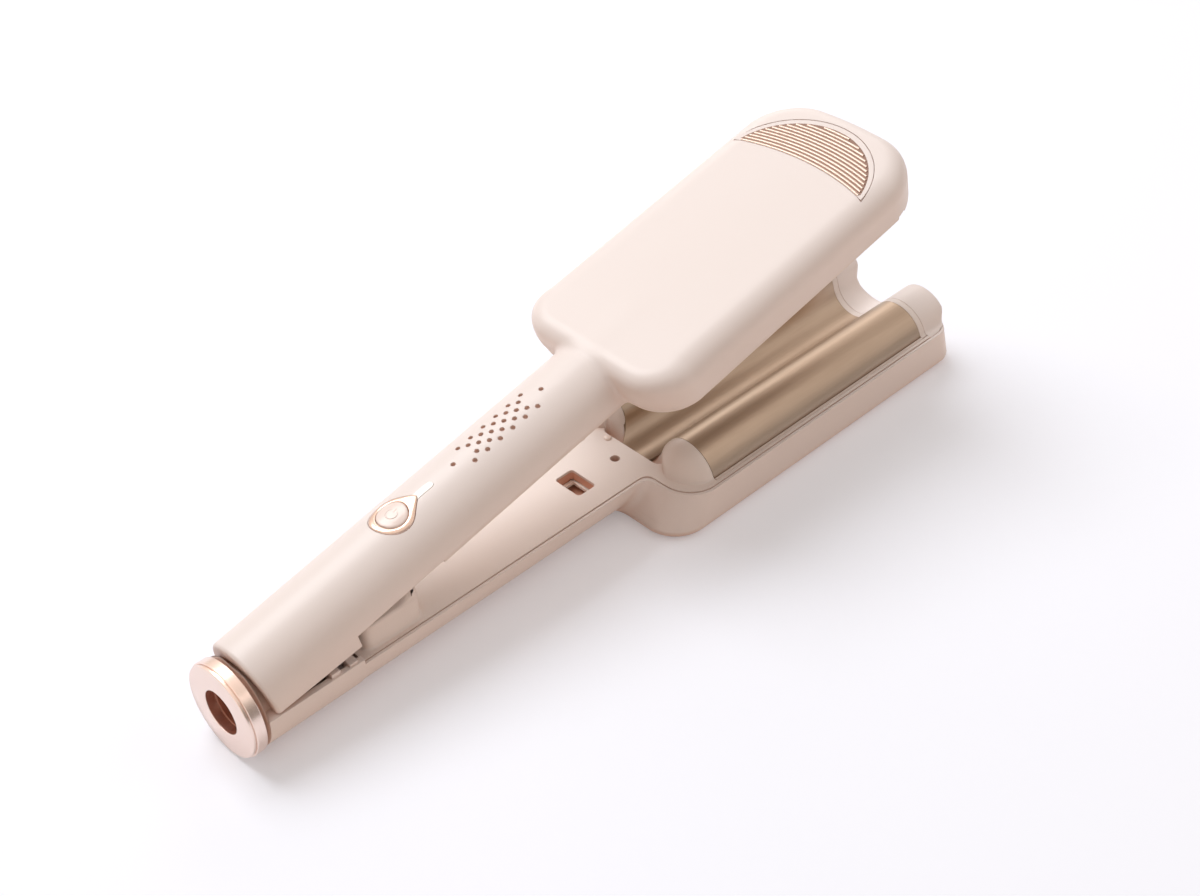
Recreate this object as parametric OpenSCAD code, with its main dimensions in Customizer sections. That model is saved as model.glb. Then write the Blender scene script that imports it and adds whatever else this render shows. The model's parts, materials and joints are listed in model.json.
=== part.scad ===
// Two-arm hair waver: a lower arm with two barrels and a valley, an upper arm
// with one barrel, joined near the tail by a sprung pin and drawn lying open.
// Lengths are in millimetres. X runs from the tail to the tip, Z is up.
// The arms are laid out closed, then the upper one is swung open about its pin.

/* [Overall] */
// Length from the tail ring's face to the tip
total_len = 346; // [330:1:365]
// Angle between the arms when the spring holds them open
open_angle = 13; // [8:0.5:14]
// Wall of the moulded casings
wall = 2.2; // [1.8:0.1:2.6]
// Thickness of the inner covers' flanges
flange_t = 1.2; // [1:0.1:1.4]
// Clearance between parts that are assembled together
fit_gap = 0.05; // [0.03:0.01:0.08]

/* [Handle] */
// Radius of the lower, half-round handle
handle_r = 16.5; // [15:0.1:18]
// Height of the handle's underside above the surface it lies on
foot_drop = 1; // [0.8:0.1:1.4]
// Height of the upper handle above its rim
upper_handle_h = 16.8; // [16.4:0.1:17.4]
// Distance of the upper arm's inner face above the lower arm's rim when closed
closed_gap = 9.3; // [9:0.1:11]
// End of the tail collar along the arm
collar_end = 47; // [46:0.5:48]
// Height of the tail collar's open edge above the tail ring's axis
collar_rise = 2.7; // [1.5:0.1:2.7]

/* [Tail] */
// How far the tail ring stands out round the collar
ring_lip = 0.8; // [0.6:0.1:1.2]
// Thickness of the tail ring
ring_t = 5.5; // [5:0.1:6]
// How much wider the ring's cord opening is than the socket, in radius
hole_step = 0.4; // [0.1:0.1:0.6]
// Radius of the socket that takes the cord's end
socket_r = 8; // [7.5:0.1:8]
// Depth of that socket
socket_depth = 9; // [8:0.5:10]
// Wall of the turning cord sleeve
sleeve_wall = 1.2; // [1:0.1:1.6]

/* [Hinge] */
// Hinge pin's distance from the tail
hinge_x = 26; // [25.5:0.5:27]
// Hinge pin's height above the tail ring's axis
hinge_rise = 2; // [1.5:0.1:2.5]
// Hinge pin's radius
pin_r = 1.8; // [1.5:0.1:2]
// Radial running clearance of the pin
pin_play = 0.06; // [0.03:0.01:0.09]
// Thickness of a hinge cheek
cheek_t = 2.5; // [2:0.1:2.8]
// Wire diameter of the torsion spring
spring_wire = 1.4; // [1:0.1:1.5]
// Turns of the torsion spring
spring_turns = 5; // [3:1:5]

/* [Lower head] */
// Width of the lower head
head_w = 79; // [77:1:84]
// Start of the lower head along the arm, at its base
head_x = 175; // [174:1:178]
// Width of the casing's rim that shows outside the inner cover
rim_band = 1.1; // [0.8:0.1:1.4]
// Width of the flat rim beside a barrel
side_rim = 3.8; // [3.4:0.1:5]
// Length of the lower head beyond its heating plate
tip_len = 20; // [18:0.5:24]
// Rounding of the lower head's foot
foot_round = 4; // [3:0.5:5]
// Radius of the lower head's corners near the handle
head_corner_r = 15; // [12:1:17]
// Radius of the lower head's corners at the tip
tip_corner_r = 8; // [6:1:10]

/* [Upper head] */
// How much narrower the upper head is than the lower one, on each side
side_step = 2; // [1:0.1:2.4]
// How far the upper head starts before the lower one
head_lead = 4.2; // [3:0.2:6]
// How far the upper head ends before the tip
tip_step = 17.2; // [15:0.2:19]
// Height of the upper head's top above its inner face
upper_head_h = 18; // [17.6:0.2:20]
// Rounding of the upper head's top edge
top_round = 9; // [6:0.5:10]

/* [Heating plates] */
// Radius of the lower barrels' outer sides
barrel_r = 14.7; // [14.2:0.1:15]
// Height of the lower barrels' tops above the casing's rim
barrel_rise = 11.1; // [10.6:0.1:11.6]
// Radius of the lower barrels' inner sides
inner_r = 10; // [9:0.1:11]
// Depth of the valley's floor below the casing's rim
valley_drop = 5.2; // [4.2:0.1:6]
// Gap between the two plates when the arms are closed
plate_gap = 1.6; // [1:0.1:2]
// Sheet thickness of the heating plates
plate_t = 1.5; // [1:0.1:1.8]
// Distance of the lower heating plate's start from the head's
plate_inset = 25; // [24:0.5:28]
// Length of the upper head beyond its heating plate
upper_tip_len = 17.8; // [16:0.2:20]

/* [Controls] */
// Middle of the power button along the arm
button_x = 84; // [83:0.5:86]
// Radius of the power button
button_r = 5; // [4.6:0.1:5.2]
// Travel of the power button
button_travel = 0.6; // [0.4:0.1:0.7]
// Diameter of a cooling vent
vent_d = 1.8; // [1.4:0.1:2]
// Spacing of the vent rows along the handle
vent_pitch = 3.05; // [2.8:0.05:3.1]
// Distance of the lock pocket's middle before the lower head
pocket_back = 13.5; // [12:0.5:16]
// Length of the lock pocket
pocket_l = 9; // [8.5:0.1:9.5]
// Width of the lock pocket
pocket_w = 13; // [12:0.5:14]
// Travel of the lock slider
lock_travel = 3; // [2:0.5:3]

/* [Grip] */
// Number of ribs in the grip insert
rib_count = 11; // [8:1:12]
// Radius of the grip insert's outer edge
grip_r = 31; // [29:0.5:32]
// Height of the ribs
rib_h = 0.8; // [0.5:0.1:1]

/* [Hidden] */
$fn = 64;
eps = 0.01;
slack = 0.3;                          // gap between pieces that only lie close
part_z = handle_r + foot_drop;        // axis of the lower handle
rim_z = part_z - 0.3;                 // seat of the lower inner cover
collar_r = handle_r + 0.7;
ring_r = collar_r + ring_lip;
ring_z = ring_r;                      // axis of the tail parts
collar_top = ring_z + collar_rise;
hinge_z = ring_z + hinge_rise;
cord_hole_r = socket_r + hole_step;
sleeve_r = socket_r + sleeve_wall;
face_z = rim_z + flange_t;            // top of the lower inner cover
up_z = rim_z + closed_gap;            // inner face of the upper arm, closed
shell_top = face_z - 0.6;             // edge of the lower casing outside the cover
up_rim = up_z + flange_t;             // rim of the upper casing, closed
collar_bore = collar_r - wall;
handle_bore = handle_r - wall;
boss_end = ring_t + 1.8;              // end of the full round tail wall
swivel_end = boss_end + 10.2;         // inner end of the cord sleeve
ring_at = [swivel_end - 4.5, swivel_end - 2.1];
ring_w = 1.2;                         // width of a contact ring
tail_x = 11.9;                        // tail end of the upper handle
skirt_tail = 2.2;                     // depth of the tail skirt at its two ends
skirt_head = 4.5;
skirt_end = collar_end + 0.8;
cover_x = collar_end + 0.5;           // start of the lower inner cover
upper_cover_x = button_x + 3;         // start of the upper inner cover
shell_y = handle_r - wall;            // inside of the upper handle
shell_h = upper_handle_h - wall;
head_y = head_w / 2;
barrel_y = head_y - side_rim - barrel_r;
rail_y = barrel_y + barrel_r + 0.6;   // outside of the lower plate carrier
uhead_y = head_y - side_step;
upper_head_x = head_x - head_lead;
uhead_end = total_len - tip_step;
uhead_top = up_z + upper_head_h;
plate_x = head_x + plate_inset;
plate_end = total_len - tip_len;
plate_mid = (plate_x + plate_end) / 2;
upper_plate_x = plate_x + 3;
upper_plate_end = uhead_end - upper_tip_len;
upper_mid = (upper_plate_x + upper_plate_end) / 2;
tip_x = plate_end + 3;                // start of the tip cap
valley_x = plate_x - 9;               // start of the valley's floor
dome_l = 14.5;                        // length of the barrels' rounded tail ends
barrel_top = rim_z + barrel_rise;
valley_z = rim_z - valley_drop;
rail_z = rim_z - 9.2;                 // underside of the lower plate carrier
pocket_x = head_x - pocket_back;
lug_x = cover_x + 3;                  // wire tunnel on the lower inner cover
lug_end = lug_x + 25.5;
lug_y = 13;
lug_z = rim_z + 11.3;
lug_bend = lug_z + 0.5;               // where the tunnel's sides lean in
post_z = rim_z + 18.3;
post_y = 10.2;
post_x = lug_end - 3.5;               // hole in the tunnel's top
tunnel_z = rim_z + 6.3;
tunnel_r = 3.4;
board_z = up_z + 6;                   // underside of the circuit board
board_t = 1.6;
board_x = button_x - 5;
board_end = button_x + 66;
board_y = 11;
board_screw_r = 0.85;
bracket_screw_y = 7.2;
bracket_screw_x = collar_end - 7;
upper_bracket_screw_x = collar_end - 9;
cheek_y = 10.25;                      // middle of a lower hinge cheek
upper_cheek_y = cheek_y - cheek_t - 0.65;
cheek_r = 4.4;
seat_z = up_rim + 3.8;                // where the upper covers' posts meet
plate_top = up_z + 6.5;               // top of the upper hinge bracket's plate
plate_depth = 3;
bracket_floor = ring_z + 1 - sqrt(pow(collar_bore - fit_gap, 2) - pow(cheek_y - cheek_t / 2, 2));
screw_r = 1.1;
head_r = 1.9;
lead_r = 0.9;
floor_lead_z = bracket_floor + lead_r + 0.45;
heater_x = plate_x + 14;
heater_end = plate_end - 14;
heater_y = barrel_y + 2;
heater_z = barrel_top - 7.1;          // underside of the lower heaters
clip_t = 0.8;
upper_heater_x = upper_plate_x + 11;
upper_heater_end = upper_plate_end - 7;
slide_y = 5.5;                        // half width of the lock slider's plate
slide_z = part_z - sqrt(pow(handle_bore, 2) - pow(slide_y, 2)) + slack;
frame_z = rim_z - 4.8;                // underside of the latch frame
frame_t = 1.2;
hook_stem = [-1.6, 0.4];              // lock hook's stem, from the pocket's middle
hook_foot = 1.5;                      // how far the hook's foot reaches beyond its stem
hook_front = pocket_x + hook_stem[1] + lock_travel + slack;
grip_len = 22;
rib_start = uhead_end - 32;
rib_arc = 100;                        // radius of the ribs' bow

// ---- plate curve: arcs of the valley and the barrels, grown outwards by g ----
barrel_z = barrel_top - barrel_r;
inner_z = barrel_top - inner_r;
drop = inner_z - valley_z;
valley_r = (pow(barrel_y, 2) + pow(drop, 2) - pow(inner_r, 2)) / (2 * (inner_r + drop));
valley_c = valley_z + valley_r;
swing = atan2(valley_c - inner_z, barrel_y);
valley_y = valley_r * cos(swing);     // half width of the valley
bumper_x = plate_x - 11.4;
bumper_y = valley_y - 1.5;
bumper_r = 1.2;
upper_floor = valley_z + plate_gap + plate_t;
tongue_r = valley_r - plate_gap - fit_gap;
edge_y = barrel_y + sqrt(pow(barrel_r + plate_gap + plate_t, 2) - pow(up_z - barrel_z, 2));
upper_clip_z = upper_floor + 4.4;
cover_bosses = [[head_x + 7, 0]];
tip_bosses = [for (s = [1, -1]) [total_len - 10, s * (barrel_y + 5)]];
carrier_bosses = [for (x = [plate_x + 6, plate_end - 6]) for (s = [1, -1]) [x, s * (barrel_y + 5)]];
cover_posts = concat([[button_x + 10, 0]], [for (s = [1, -1]) [upper_head_x + 10.2, s * (uhead_y - 13.5)]],
    [for (s = [1, -1]) [upper_plate_x - 3, s * (uhead_y - 5.3)]]);
board_posts = [for (x = [button_x + 20, button_x + 62]) for (s = [1, -1]) [x, s * 8]];

function arc(cy, cz, r, a0, a1, n) =
    [for (i = [0:n]) let (a = a0 + (a1 - a0) * i / n) [cy + r * cos(a), cz + r * sin(a)]];
function side_end(g, z) = asin((z - barrel_z) / (barrel_r + g));
function half_curve(g, z) = concat(
    arc(0, valley_c, valley_r - g, -90, -swing, 10),
    arc(barrel_y, inner_z, inner_r + g, 180 - swing, 90, 8),
    arc(barrel_y, barrel_z, barrel_r + g, 90, side_end(g, z), 12));
function flip(points) = [for (i = [len(points) - 1:-1:0]) [-points[i].x, points[i].y]];
function full_curve(g, z) = concat(flip(half_curve(g, z)), half_curve(g, z));
function back(points) = [for (i = [len(points) - 1:-1:0]) points[i]];
function half_oval(a, b, n) = [for (i = [0:n]) let (t = 180 * i / n) [a * cos(t), b * sin(t)]];

// ---- helpers ----
module at_tail() translate([-total_len / 2, 0, 0]) children();
module opened() at_tail() translate([hinge_x, 0, hinge_z]) rotate([0, -open_angle, 0])
    translate([-hinge_x, 0, -hinge_z]) children();
module along_x(x0, x1) translate([x0, 0, 0]) rotate([90, 0, 90]) linear_extrude(x1 - x0) children();
module rod_x(r, x0, x1, y = 0, z = 0) translate([x0, y, z]) rotate([0, 90, 0]) cylinder(r = r, h = x1 - x0);
module rod_y(r, y0, y1, x, z) translate([x, y0, z]) rotate([-90, 0, 0]) cylinder(r = r, h = y1 - y0);
module rod_z(r, z0, z1, x, y = 0) translate([x, y, z0]) cylinder(r = r, h = z1 - z0);
module box(x0, x1, y, z0, z1) translate([x0, -y, z0]) cube([x1 - x0, 2 * y, z1 - z0]);
module bar(x0, x1, y0, y1, z0, z1) translate([x0, y0, z0]) cube([x1 - x0, y1 - y0, z1 - z0]);

// Upper handle's section: half oval on straight legs, grown by g.
module oval_section(g, leg) translate([0, up_rim])
    polygon(concat([[handle_r + g, -leg]], half_oval(handle_r + g, upper_handle_h - flange_t + g, 32),
        [[-handle_r - g, -leg]]));

// A flat pad with rounded corners: radius r0 at the handle side, r1 at the tip.
function pad_outline(x0, x1, y, r0, r1) = concat(
    arc(x1 - r1, r1 - y, r1, -90, 0, 8), arc(x1 - r1, y - r1, r1, 0, 90, 8),
    arc(x0 + r0, y - r0, r0, 90, 180, 8), arc(x0 + r0, r0 - y, r0, 180, 270, 8));
module pad(x0, x1, y, r0, r1, z0, z1) translate([0, 0, z0]) linear_extrude(z1 - z0)
    polygon(pad_outline(x0, x1, y, r0, r1));

// Lower head, wider at its base than at its rim, grown by g.
module lower_block(g, z0, z1) hull() {
    for (a = [0:22.5:90]) let (inset = foot_round * (1 - cos(a)))
        pad(head_x - g + inset, total_len + g - inset, head_y + g - inset, head_corner_r + g - inset,
            tip_corner_r + g - inset, z0 + foot_round * (1 - sin(a)), z0 + foot_round + 0.5);
    pad(head_x + 8 - g, total_len - 3 + g, head_y - 0.5 + g, head_corner_r + g - 1, tip_corner_r + g,
        z0 + foot_round, z1);
}

// Upper head with its rounded top edge, grown by g.
module upper_block(g, z0, z1) hull() {
    for (a = [0:18:90]) let (inset = top_round * (1 - cos(a)))
        pad(upper_head_x - g + inset, uhead_end + g - inset, uhead_y + g - inset, 14 + g - inset,
            25 + g - inset, z0, z1 + g - top_round * (1 - sin(a)));
}

// Outline of the flat inner face of the lower arm, inset by g.
module lower_face(z0, z1, g) {
    box(cover_x, valley_x, handle_r - g, z0, z1);
    pad(head_x + 8 + g, total_len - 3 - g, head_y - 0.5 - g, head_corner_r - 1, tip_corner_r, z0, z1);
}

// Everything below the plate curve, between two places along the arm.
module below_curve(g, x0, x1, z0) along_x(x0, x1)
    polygon(concat([[0.8 - rail_y, z0]], full_curve(g, face_z), [[rail_y - 0.8, z0]]));

// Everything above the valley's arc, between two places along the arm.
module above_valley(x0, x1) along_x(x0, x1) polygon(concat(
    flip(arc(0, valley_c, valley_r, -90, -swing, 10)), arc(0, valley_c, valley_r, -90, -swing, 10),
    [[valley_y, 60], [-valley_y, 60]]));

module screw(len) {
    cylinder(r = screw_r, h = len, $fn = 24);
    translate([0, 0, len]) difference() {
        cylinder(r = head_r, h = 1.6, $fn = 32);
        for (a = [0, 90]) rotate(a) translate([-1.6, -0.3, 0.7]) cube([3.2, 0.6, 1]);
    }
}

// ---- tail ----
module tail_ring() color("rosybrown") at_tail() difference() {
    translate([0, 0, ring_z]) rotate([90, 0, 90]) rotate_extrude() polygon([
        [cord_hole_r, 0], [ring_r - 0.6, 0], [ring_r, 0.6], [ring_r, ring_t],
        [sleeve_r + 2.2, ring_t], [sleeve_r + 2.2, boss_end], [sleeve_r + fit_gap, boss_end],
        [sleeve_r + fit_gap, 3.5], [cord_hole_r, 3.5]]);
}

module swivel_sleeve() color("saddlebrown") at_tail() difference() {
    union() {
        rod_x(sleeve_r, 3.6, swivel_end, 0, ring_z);
        rod_x(sleeve_r + 1.6, boss_end + 0.2, boss_end + 1.6, 0, ring_z);
    }
    rod_x(socket_r, 3, 3.6 + socket_depth, 0, ring_z);
    rod_x(2.2, 3, 20, 0, ring_z);
    for (x = ring_at) translate([x, 0, ring_z]) rotate([0, 90, 0]) difference() {
        cylinder(r = sleeve_r + 1, h = ring_w);
        cylinder(r = sleeve_r - 0.8, h = ring_w);
    }
}

module contact_rings() color("goldenrod") at_tail()
    for (x = ring_at) translate([x, 0, ring_z]) rotate([0, 90, 0]) difference() {
        cylinder(r = sleeve_r - fit_gap, h = ring_w);
        translate([0, 0, -1]) cylinder(r = sleeve_r - 0.8, h = 4);
    }

module contact_block() color("white") at_tail() difference() {
    union() {
        rod_x(sleeve_r + 3.2, boss_end + 1.9, swivel_end + 0.9, 0, ring_z);
        intersection() {
            rod_x(collar_bore - fit_gap, boss_end + 1.9, swivel_end + 0.9, 0, ring_z);
            box(0, 40, 20, 0, ring_z);
        }
    }
    rod_x(sleeve_r + fit_gap, 5, 20, 0, ring_z);
    for (x = ring_at) bar(x - 0.15, x + ring_w + 0.15, -1.6, 1.6, ring_z + 5, ring_z + 20);
}

module contact_brushes() color("darkgoldenrod") at_tail()
    for (x = ring_at) difference() {
        bar(x, x + ring_w, -1.5, 1.5, ring_z + sleeve_r - 0.4, ring_z + sleeve_r + 4.4);
        rod_x(sleeve_r + 0.02, x - 1, x + 3, 0, ring_z);
    }

// ---- lower arm ----
module lower_outer() {
    rod_x(collar_r, ring_t, boss_end, 0, ring_z);
    intersection() {
        rod_x(collar_r, ring_t, collar_end, 0, ring_z);
        box(0, collar_end + 1, 30, -1, collar_top);
    }
    intersection() {
        union() {
            rod_x(handle_r, collar_end - 4, head_x + 14, 0, part_z);
            lower_block(0, 0, shell_top);
        }
        box(0, total_len + 1, head_y + 1, -1, shell_top);
    }
}

module lower_shell() color("linen") at_tail() difference() {
    union() {
        difference() {
            lower_outer();
            rod_x(collar_bore, boss_end, collar_end - wall, 0, ring_z);
            rod_x(sleeve_r + 2.2 + fit_gap, ring_t - 1, boss_end + 1, 0, ring_z);
            rod_x(handle_bore, collar_end - wall - 1, head_x + 20, 0, part_z);
            lower_block(-wall, wall, shell_top + 1);
            lower_face(rim_z, shell_top + 1, rim_band - fit_gap);
            box(boss_end, collar_end + 3, 4, ring_z, 40);
        }
        for (p = cover_bosses) rod_z(3, wall - 0.2, face_z - 4.2, p.x, p.y);
        for (p = tip_bosses) rod_z(3, wall / 2, face_z - 4.3, p.x, p.y);
        for (p = carrier_bosses) rod_z(3, wall / 2, rail_z, p.x, p.y);
    }
    for (p = cover_bosses) rod_z(screw_r + fit_gap, 5, 30, p.x, p.y);
    for (p = tip_bosses) rod_z(screw_r + fit_gap, -1, 30, p.x, p.y);
    for (p = tip_bosses) rod_z(head_r + 0.2, -1, 4, p.x, p.y);
    for (p = carrier_bosses) rod_z(screw_r + fit_gap, rail_z - 5, 30, p.x, p.y);
    bar(pocket_x - 7 - lock_travel, pocket_x + 7, -4.2, 4.2, -1, slide_z - slack);
    along_x(tip_x, total_len + 1) polygon(valley_skin(0));
    for (s = [-1, 1]) rod_z(screw_r + fit_gap, bracket_floor - 4.2, bracket_floor, bracket_screw_x,
        s * bracket_screw_y);
}

// The wire tunnel that reaches into the upper handle, grown by g.
module lug_solid(g) intersection() {
    along_x(lug_x - g, lug_end + g) polygon([[-lug_y - g, rim_z - 1], [lug_y + g, rim_z - 1],
        [lug_y + g, lug_bend + g], [post_y + g, post_z + g], [-post_y - g, post_z + g],
        [-lug_y - g, lug_bend + g]]);
    translate([0, 30, 0]) rotate([90, 0, 0]) linear_extrude(60) polygon(concat(
        [[lug_x - g, rim_z - 2], [lug_end + g, rim_z - 2]],
        [for (a = [0:15:90]) [lug_end + g - 3 + 3 * cos(a), post_z + g - 3 + 3 * sin(a)]],
        [for (a = [0:15:90]) [lug_end - 7.5 - g + (post_z - lug_z - 1) * (1 - sin(a)) * 0.6,
            post_z + g - 1 - (post_z - lug_z - 1) * sin(a)]],
        [[lug_x - g, lug_z + g]]));
    pad(lug_x - g, lug_end + g, lug_y + g, 1 + g * 0.5, 5 + g, rim_z - 2, 40);
}

// The rounded tail ends of both barrels, grown by g.
function hump(g, k) = let (mid = [barrel_y - 1, rim_z - 3]) [for (p = concat([[valley_y - 0.3, rim_z - 3]],
    arc(barrel_y, inner_z, inner_r + g, 175 - swing, 90, 7),
    arc(barrel_y, barrel_z, barrel_r + g, 90, side_end(g, face_z), 8),
    [[barrel_y + barrel_r, rim_z - 3]])) mid + k * (p - mid)];
module hump_ends(g) for (s = [0, 1]) mirror([0, s, 0]) hull() for (a = [0, 22, 42, 58, 72, 84])
    along_x(plate_x - 1.2 - (dome_l + g) * sin(a), plate_x - 1) polygon(hump(g, cos(a)));

module lower_inner_cover() color("mistyrose") at_tail() difference() {
    union() {
        lower_face(rim_z, face_z, rim_band);
        intersection() {
            lower_face(rim_z - 2.4, rim_z + eps, wall + 0.5);
            box(cover_x, tip_x - 1, head_y, 0, 40);
        }
        lug_solid(0);
        hump_ends(0);
        intersection() {
            below_curve(0, valley_x, plate_x - 1, rim_z - 8.2);
            box(valley_x - 1, plate_x, valley_y - 0.1, 0, 40);
        }
        rod_z(3.4, face_z - 4, face_z - eps, cover_bosses[0].x, 0);
    }
    difference() {
        lower_face(0, rim_z, wall + 1.9);
        box(head_x + 9, plate_x - 1, head_y, 0, 40);
        rod_z(3.4, 0, rim_z, cover_bosses[0].x, 0);
    }
    lug_solid(-1.5);
    along_x(valley_x + 1.6, plate_x) polygon(concat([[-barrel_y - 9, 3]], full_curve(-1.6, rim_z),
        [[barrel_y + 9, 3]]));
    above_valley(valley_x, plate_x);
    below_curve(1, plate_x - 1, tip_x - 1, 0);
    box(plate_x - 1, tip_x, rail_y + 0.1, 0, barrel_top + 2);
    box(tip_x, total_len, head_y + 1, 0, 40);
    box(head_x + 9, valley_x + 1.6, barrel_y + 11, 0, rim_z - 1);
    translate([pocket_x, 0, 0]) box(-pocket_l / 2, pocket_l / 2, pocket_w / 2, 0, 40);
    rod_z(head_r + 0.1, face_z - 2.6, 40, cover_bosses[0].x, 0);
    rod_z(screw_r + fit_gap, 0, 40, cover_bosses[0].x, 0);
    rod_z(bumper_r, face_z - 1, 40, bumper_x, bumper_y);
    rod_x(tunnel_r, collar_end - 7, lug_x + 5, 0, tunnel_z);
    rod_z(2.6, post_z - 5.5, post_z + 5, post_x, 0);
}

module stop_bumper() color("silver") at_tail() {
    rod_z(bumper_r - fit_gap, face_z - 1, face_z + 0.2, bumper_x, bumper_y);
    translate([bumper_x, bumper_y, face_z]) intersection() {
        translate([0, 0, -bumper_r - 0.2]) sphere(r = 2 * bumper_r);
        translate([-4, -4, 0]) cube(8);
    }
}

module tip_cap() color("linen") at_tail() difference() {
    union() {
        intersection() {
            pad(head_x + 8, total_len - 3, head_y - 0.5, head_corner_r - 1, tip_corner_r, rim_z, face_z);
            box(tip_x, total_len, head_y + 1, 0, 40);
        }
        difference() {
            intersection() {
                below_curve(0, tip_x, total_len, 8);
                leaning_end(0);
                pad(head_x, total_len - 1.5, head_y - 0.5, tip_corner_r, tip_corner_r + 1, 0, 60);
            }
            below_curve(-2, tip_x - 1, total_len - 8, 0);
            difference() {
                box(tip_x, total_len, head_y, 0, rim_z);
                along_x(tip_x, total_len) polygon(valley_skin(fit_gap));
            }
        }
        for (p = tip_bosses) rod_z(2.6, face_z - 4.2, rim_z + 6, p.x, p.y);
    }
    difference() {
        box(tip_x - 1, total_len + 1, head_y + 1, 0, shell_top + fit_gap);
        lower_face(-1, shell_top + 1, rim_band);
    }
    for (p = tip_bosses) rod_z(screw_r + fit_gap, 0, rim_z + 4, p.x, p.y);
}

// Section of the valley with the 2 mm skin under it, inset by g.
function valley_skin(g) = concat(arc(0, valley_c, valley_r + 2 - g, -146, -34, 16),
    [[valley_y + 2 - g, rim_z + 1], [-valley_y - 2 + g, rim_z + 1]]);

// Space in front of the leaning end face, moved outwards by g.
module leaning_end(g) translate([0, head_y, 0]) rotate([90, 0, 0]) linear_extrude(head_w) polygon([
    [head_x, 0], [end_x(0) + g, 0], [end_x(barrel_top - 3) + g, barrel_top - 3],
    [end_x(barrel_top - 1.2) + g - 0.8, barrel_top - 1.2], [end_x(barrel_top) + g - 2.6, barrel_top],
    [head_x, barrel_top]]);
function end_x(z) = total_len - 3 * (z - foot_round) / (rim_z - foot_round);

module lower_heating_plate() color("tan") at_tail() along_x(plate_x, plate_end)
    polygon(concat(full_curve(0, face_z), back(full_curve(-plate_t, face_z))));

module lower_plate_carrier() color("bisque") at_tail() {
    difference() {
        union() {
            below_curve(0, plate_end + 0.02, tip_x, rail_z + 2);
            for (s = [0, 1]) mirror([0, s, 0]) {
                bar(plate_x, plate_end, rail_y - 6.3, rail_y - 0.1, rail_z + 2, face_z - 2);
                bar(plate_x, tip_x, rail_y - 1.2, rail_y, rail_z + 2, face_z);
            }
        }
        along_x(plate_end - 1, tip_x + 1) polygon(concat([[7.3 - rail_y, 3]], full_curve(-3, rim_z - 2),
            [[rail_y - 7.3, 3]]));
        below_curve(0.02, plate_x - 1, plate_end, 0);
    }
    for (p = carrier_bosses) difference() {
        bar(p.x - 4, p.x + 4, p.y > 0 ? p.y - 4 : 0.1 - rail_y, p.y > 0 ? rail_y - 0.1 : p.y + 4,
            rail_z, rail_z + 2);
        rod_z(screw_r + fit_gap, 0, 30, p.x, p.y);
    }
}

module lower_heaters() color("dimgray") at_tail() intersection() {
    below_curve(-plate_t - 0.02, heater_x, heater_end, 0);
    for (s = [-1, 1]) bar(heater_x, heater_end, s * heater_y - 6, s * heater_y + 6, heater_z, barrel_top);
}

module lower_heater_clips() color("silver") at_tail() for (s = [-1, 1]) {
    bar(heater_x + 2, heater_end - 2, s * heater_y - 5, s * heater_y + 5, heater_z - clip_t, heater_z);
    for (x = [heater_x + 8, plate_mid - 5, heater_end - 18])
        bar(x, x + 8, s * heater_y - 4, s * heater_y + 4, wall, heater_z - clip_t);
}

module lower_thermistor() color("gold") at_tail() {
    rod_x(1.3, plate_mid - 13, plate_mid - 6, 0, valley_z - plate_t - 1.35);
    rod_x(0.4, plate_mid - 27, plate_mid - 13, 0, valley_z - plate_t - 1.35);
}

module cover_screws() color("gray") at_tail() {
    translate([cover_bosses[0].x, 0, 6]) screw(face_z - 8.6);
    for (p = tip_bosses) translate([p.x, p.y, rim_z + 3.5]) mirror([0, 0, 1]) screw(rim_z - 0.5);
}

module lower_bracket_screws() color("gray") at_tail()
    for (s = [-1, 1]) translate([bracket_screw_x, s * bracket_screw_y, bracket_floor - 4]) screw(4);

module upper_bracket_screws() color("gray") opened()
    for (s = [-1, 1]) translate([upper_bracket_screw_x, s * bracket_screw_y, plate_top + 4.5])
        mirror([0, 0, 1]) screw(4.5 + plate_depth);

module carrier_screws() color("gray") at_tail()
    for (p = carrier_bosses) translate([p.x, p.y, rail_z - 4]) screw(6);

// ---- lock ----
module lock_slider() color("mistyrose") at_tail() {
    bar(pocket_x - 6, pocket_x + 5.6, -4, 4, foot_drop - 0.5, slide_z);
    bar(pocket_x - 7, pocket_x + 6.6, -slide_y, slide_y, slide_z, slide_z + frame_t);
    for (x = [-4, -1.5, 1, 3.5])
        bar(pocket_x + x - 0.4, pocket_x + x + 0.4, -4, 4, foot_drop - 0.8, foot_drop - 0.4);
    bar(pocket_x - 7, pocket_x - 5, -3.4, 3.4, slide_z - 0.8, frame_z + frame_t);
    difference() {
        bar(pocket_x - 7, hook_front + 1.5, -6.2, 6.2, frame_z, frame_z + frame_t);
        bar(pocket_x - 3.6, hook_front, -4.6, 4.6, frame_z - 1, frame_z + 2);
    }
}

module lock_hook() color("mistyrose") opened() {
    bar(pocket_x + hook_stem[0], pocket_x + hook_stem[1], -3.6, 3.6, frame_z - 1.4, up_rim + 1);
    bar(pocket_x + hook_stem[0], pocket_x + hook_stem[1] + hook_foot, -3.6, 3.6, frame_z - 1.4,
        frame_z - 0.4);
    bar(pocket_x - 4, pocket_x + 4, -5, 5, up_rim, up_rim + 1.6);
}

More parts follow.
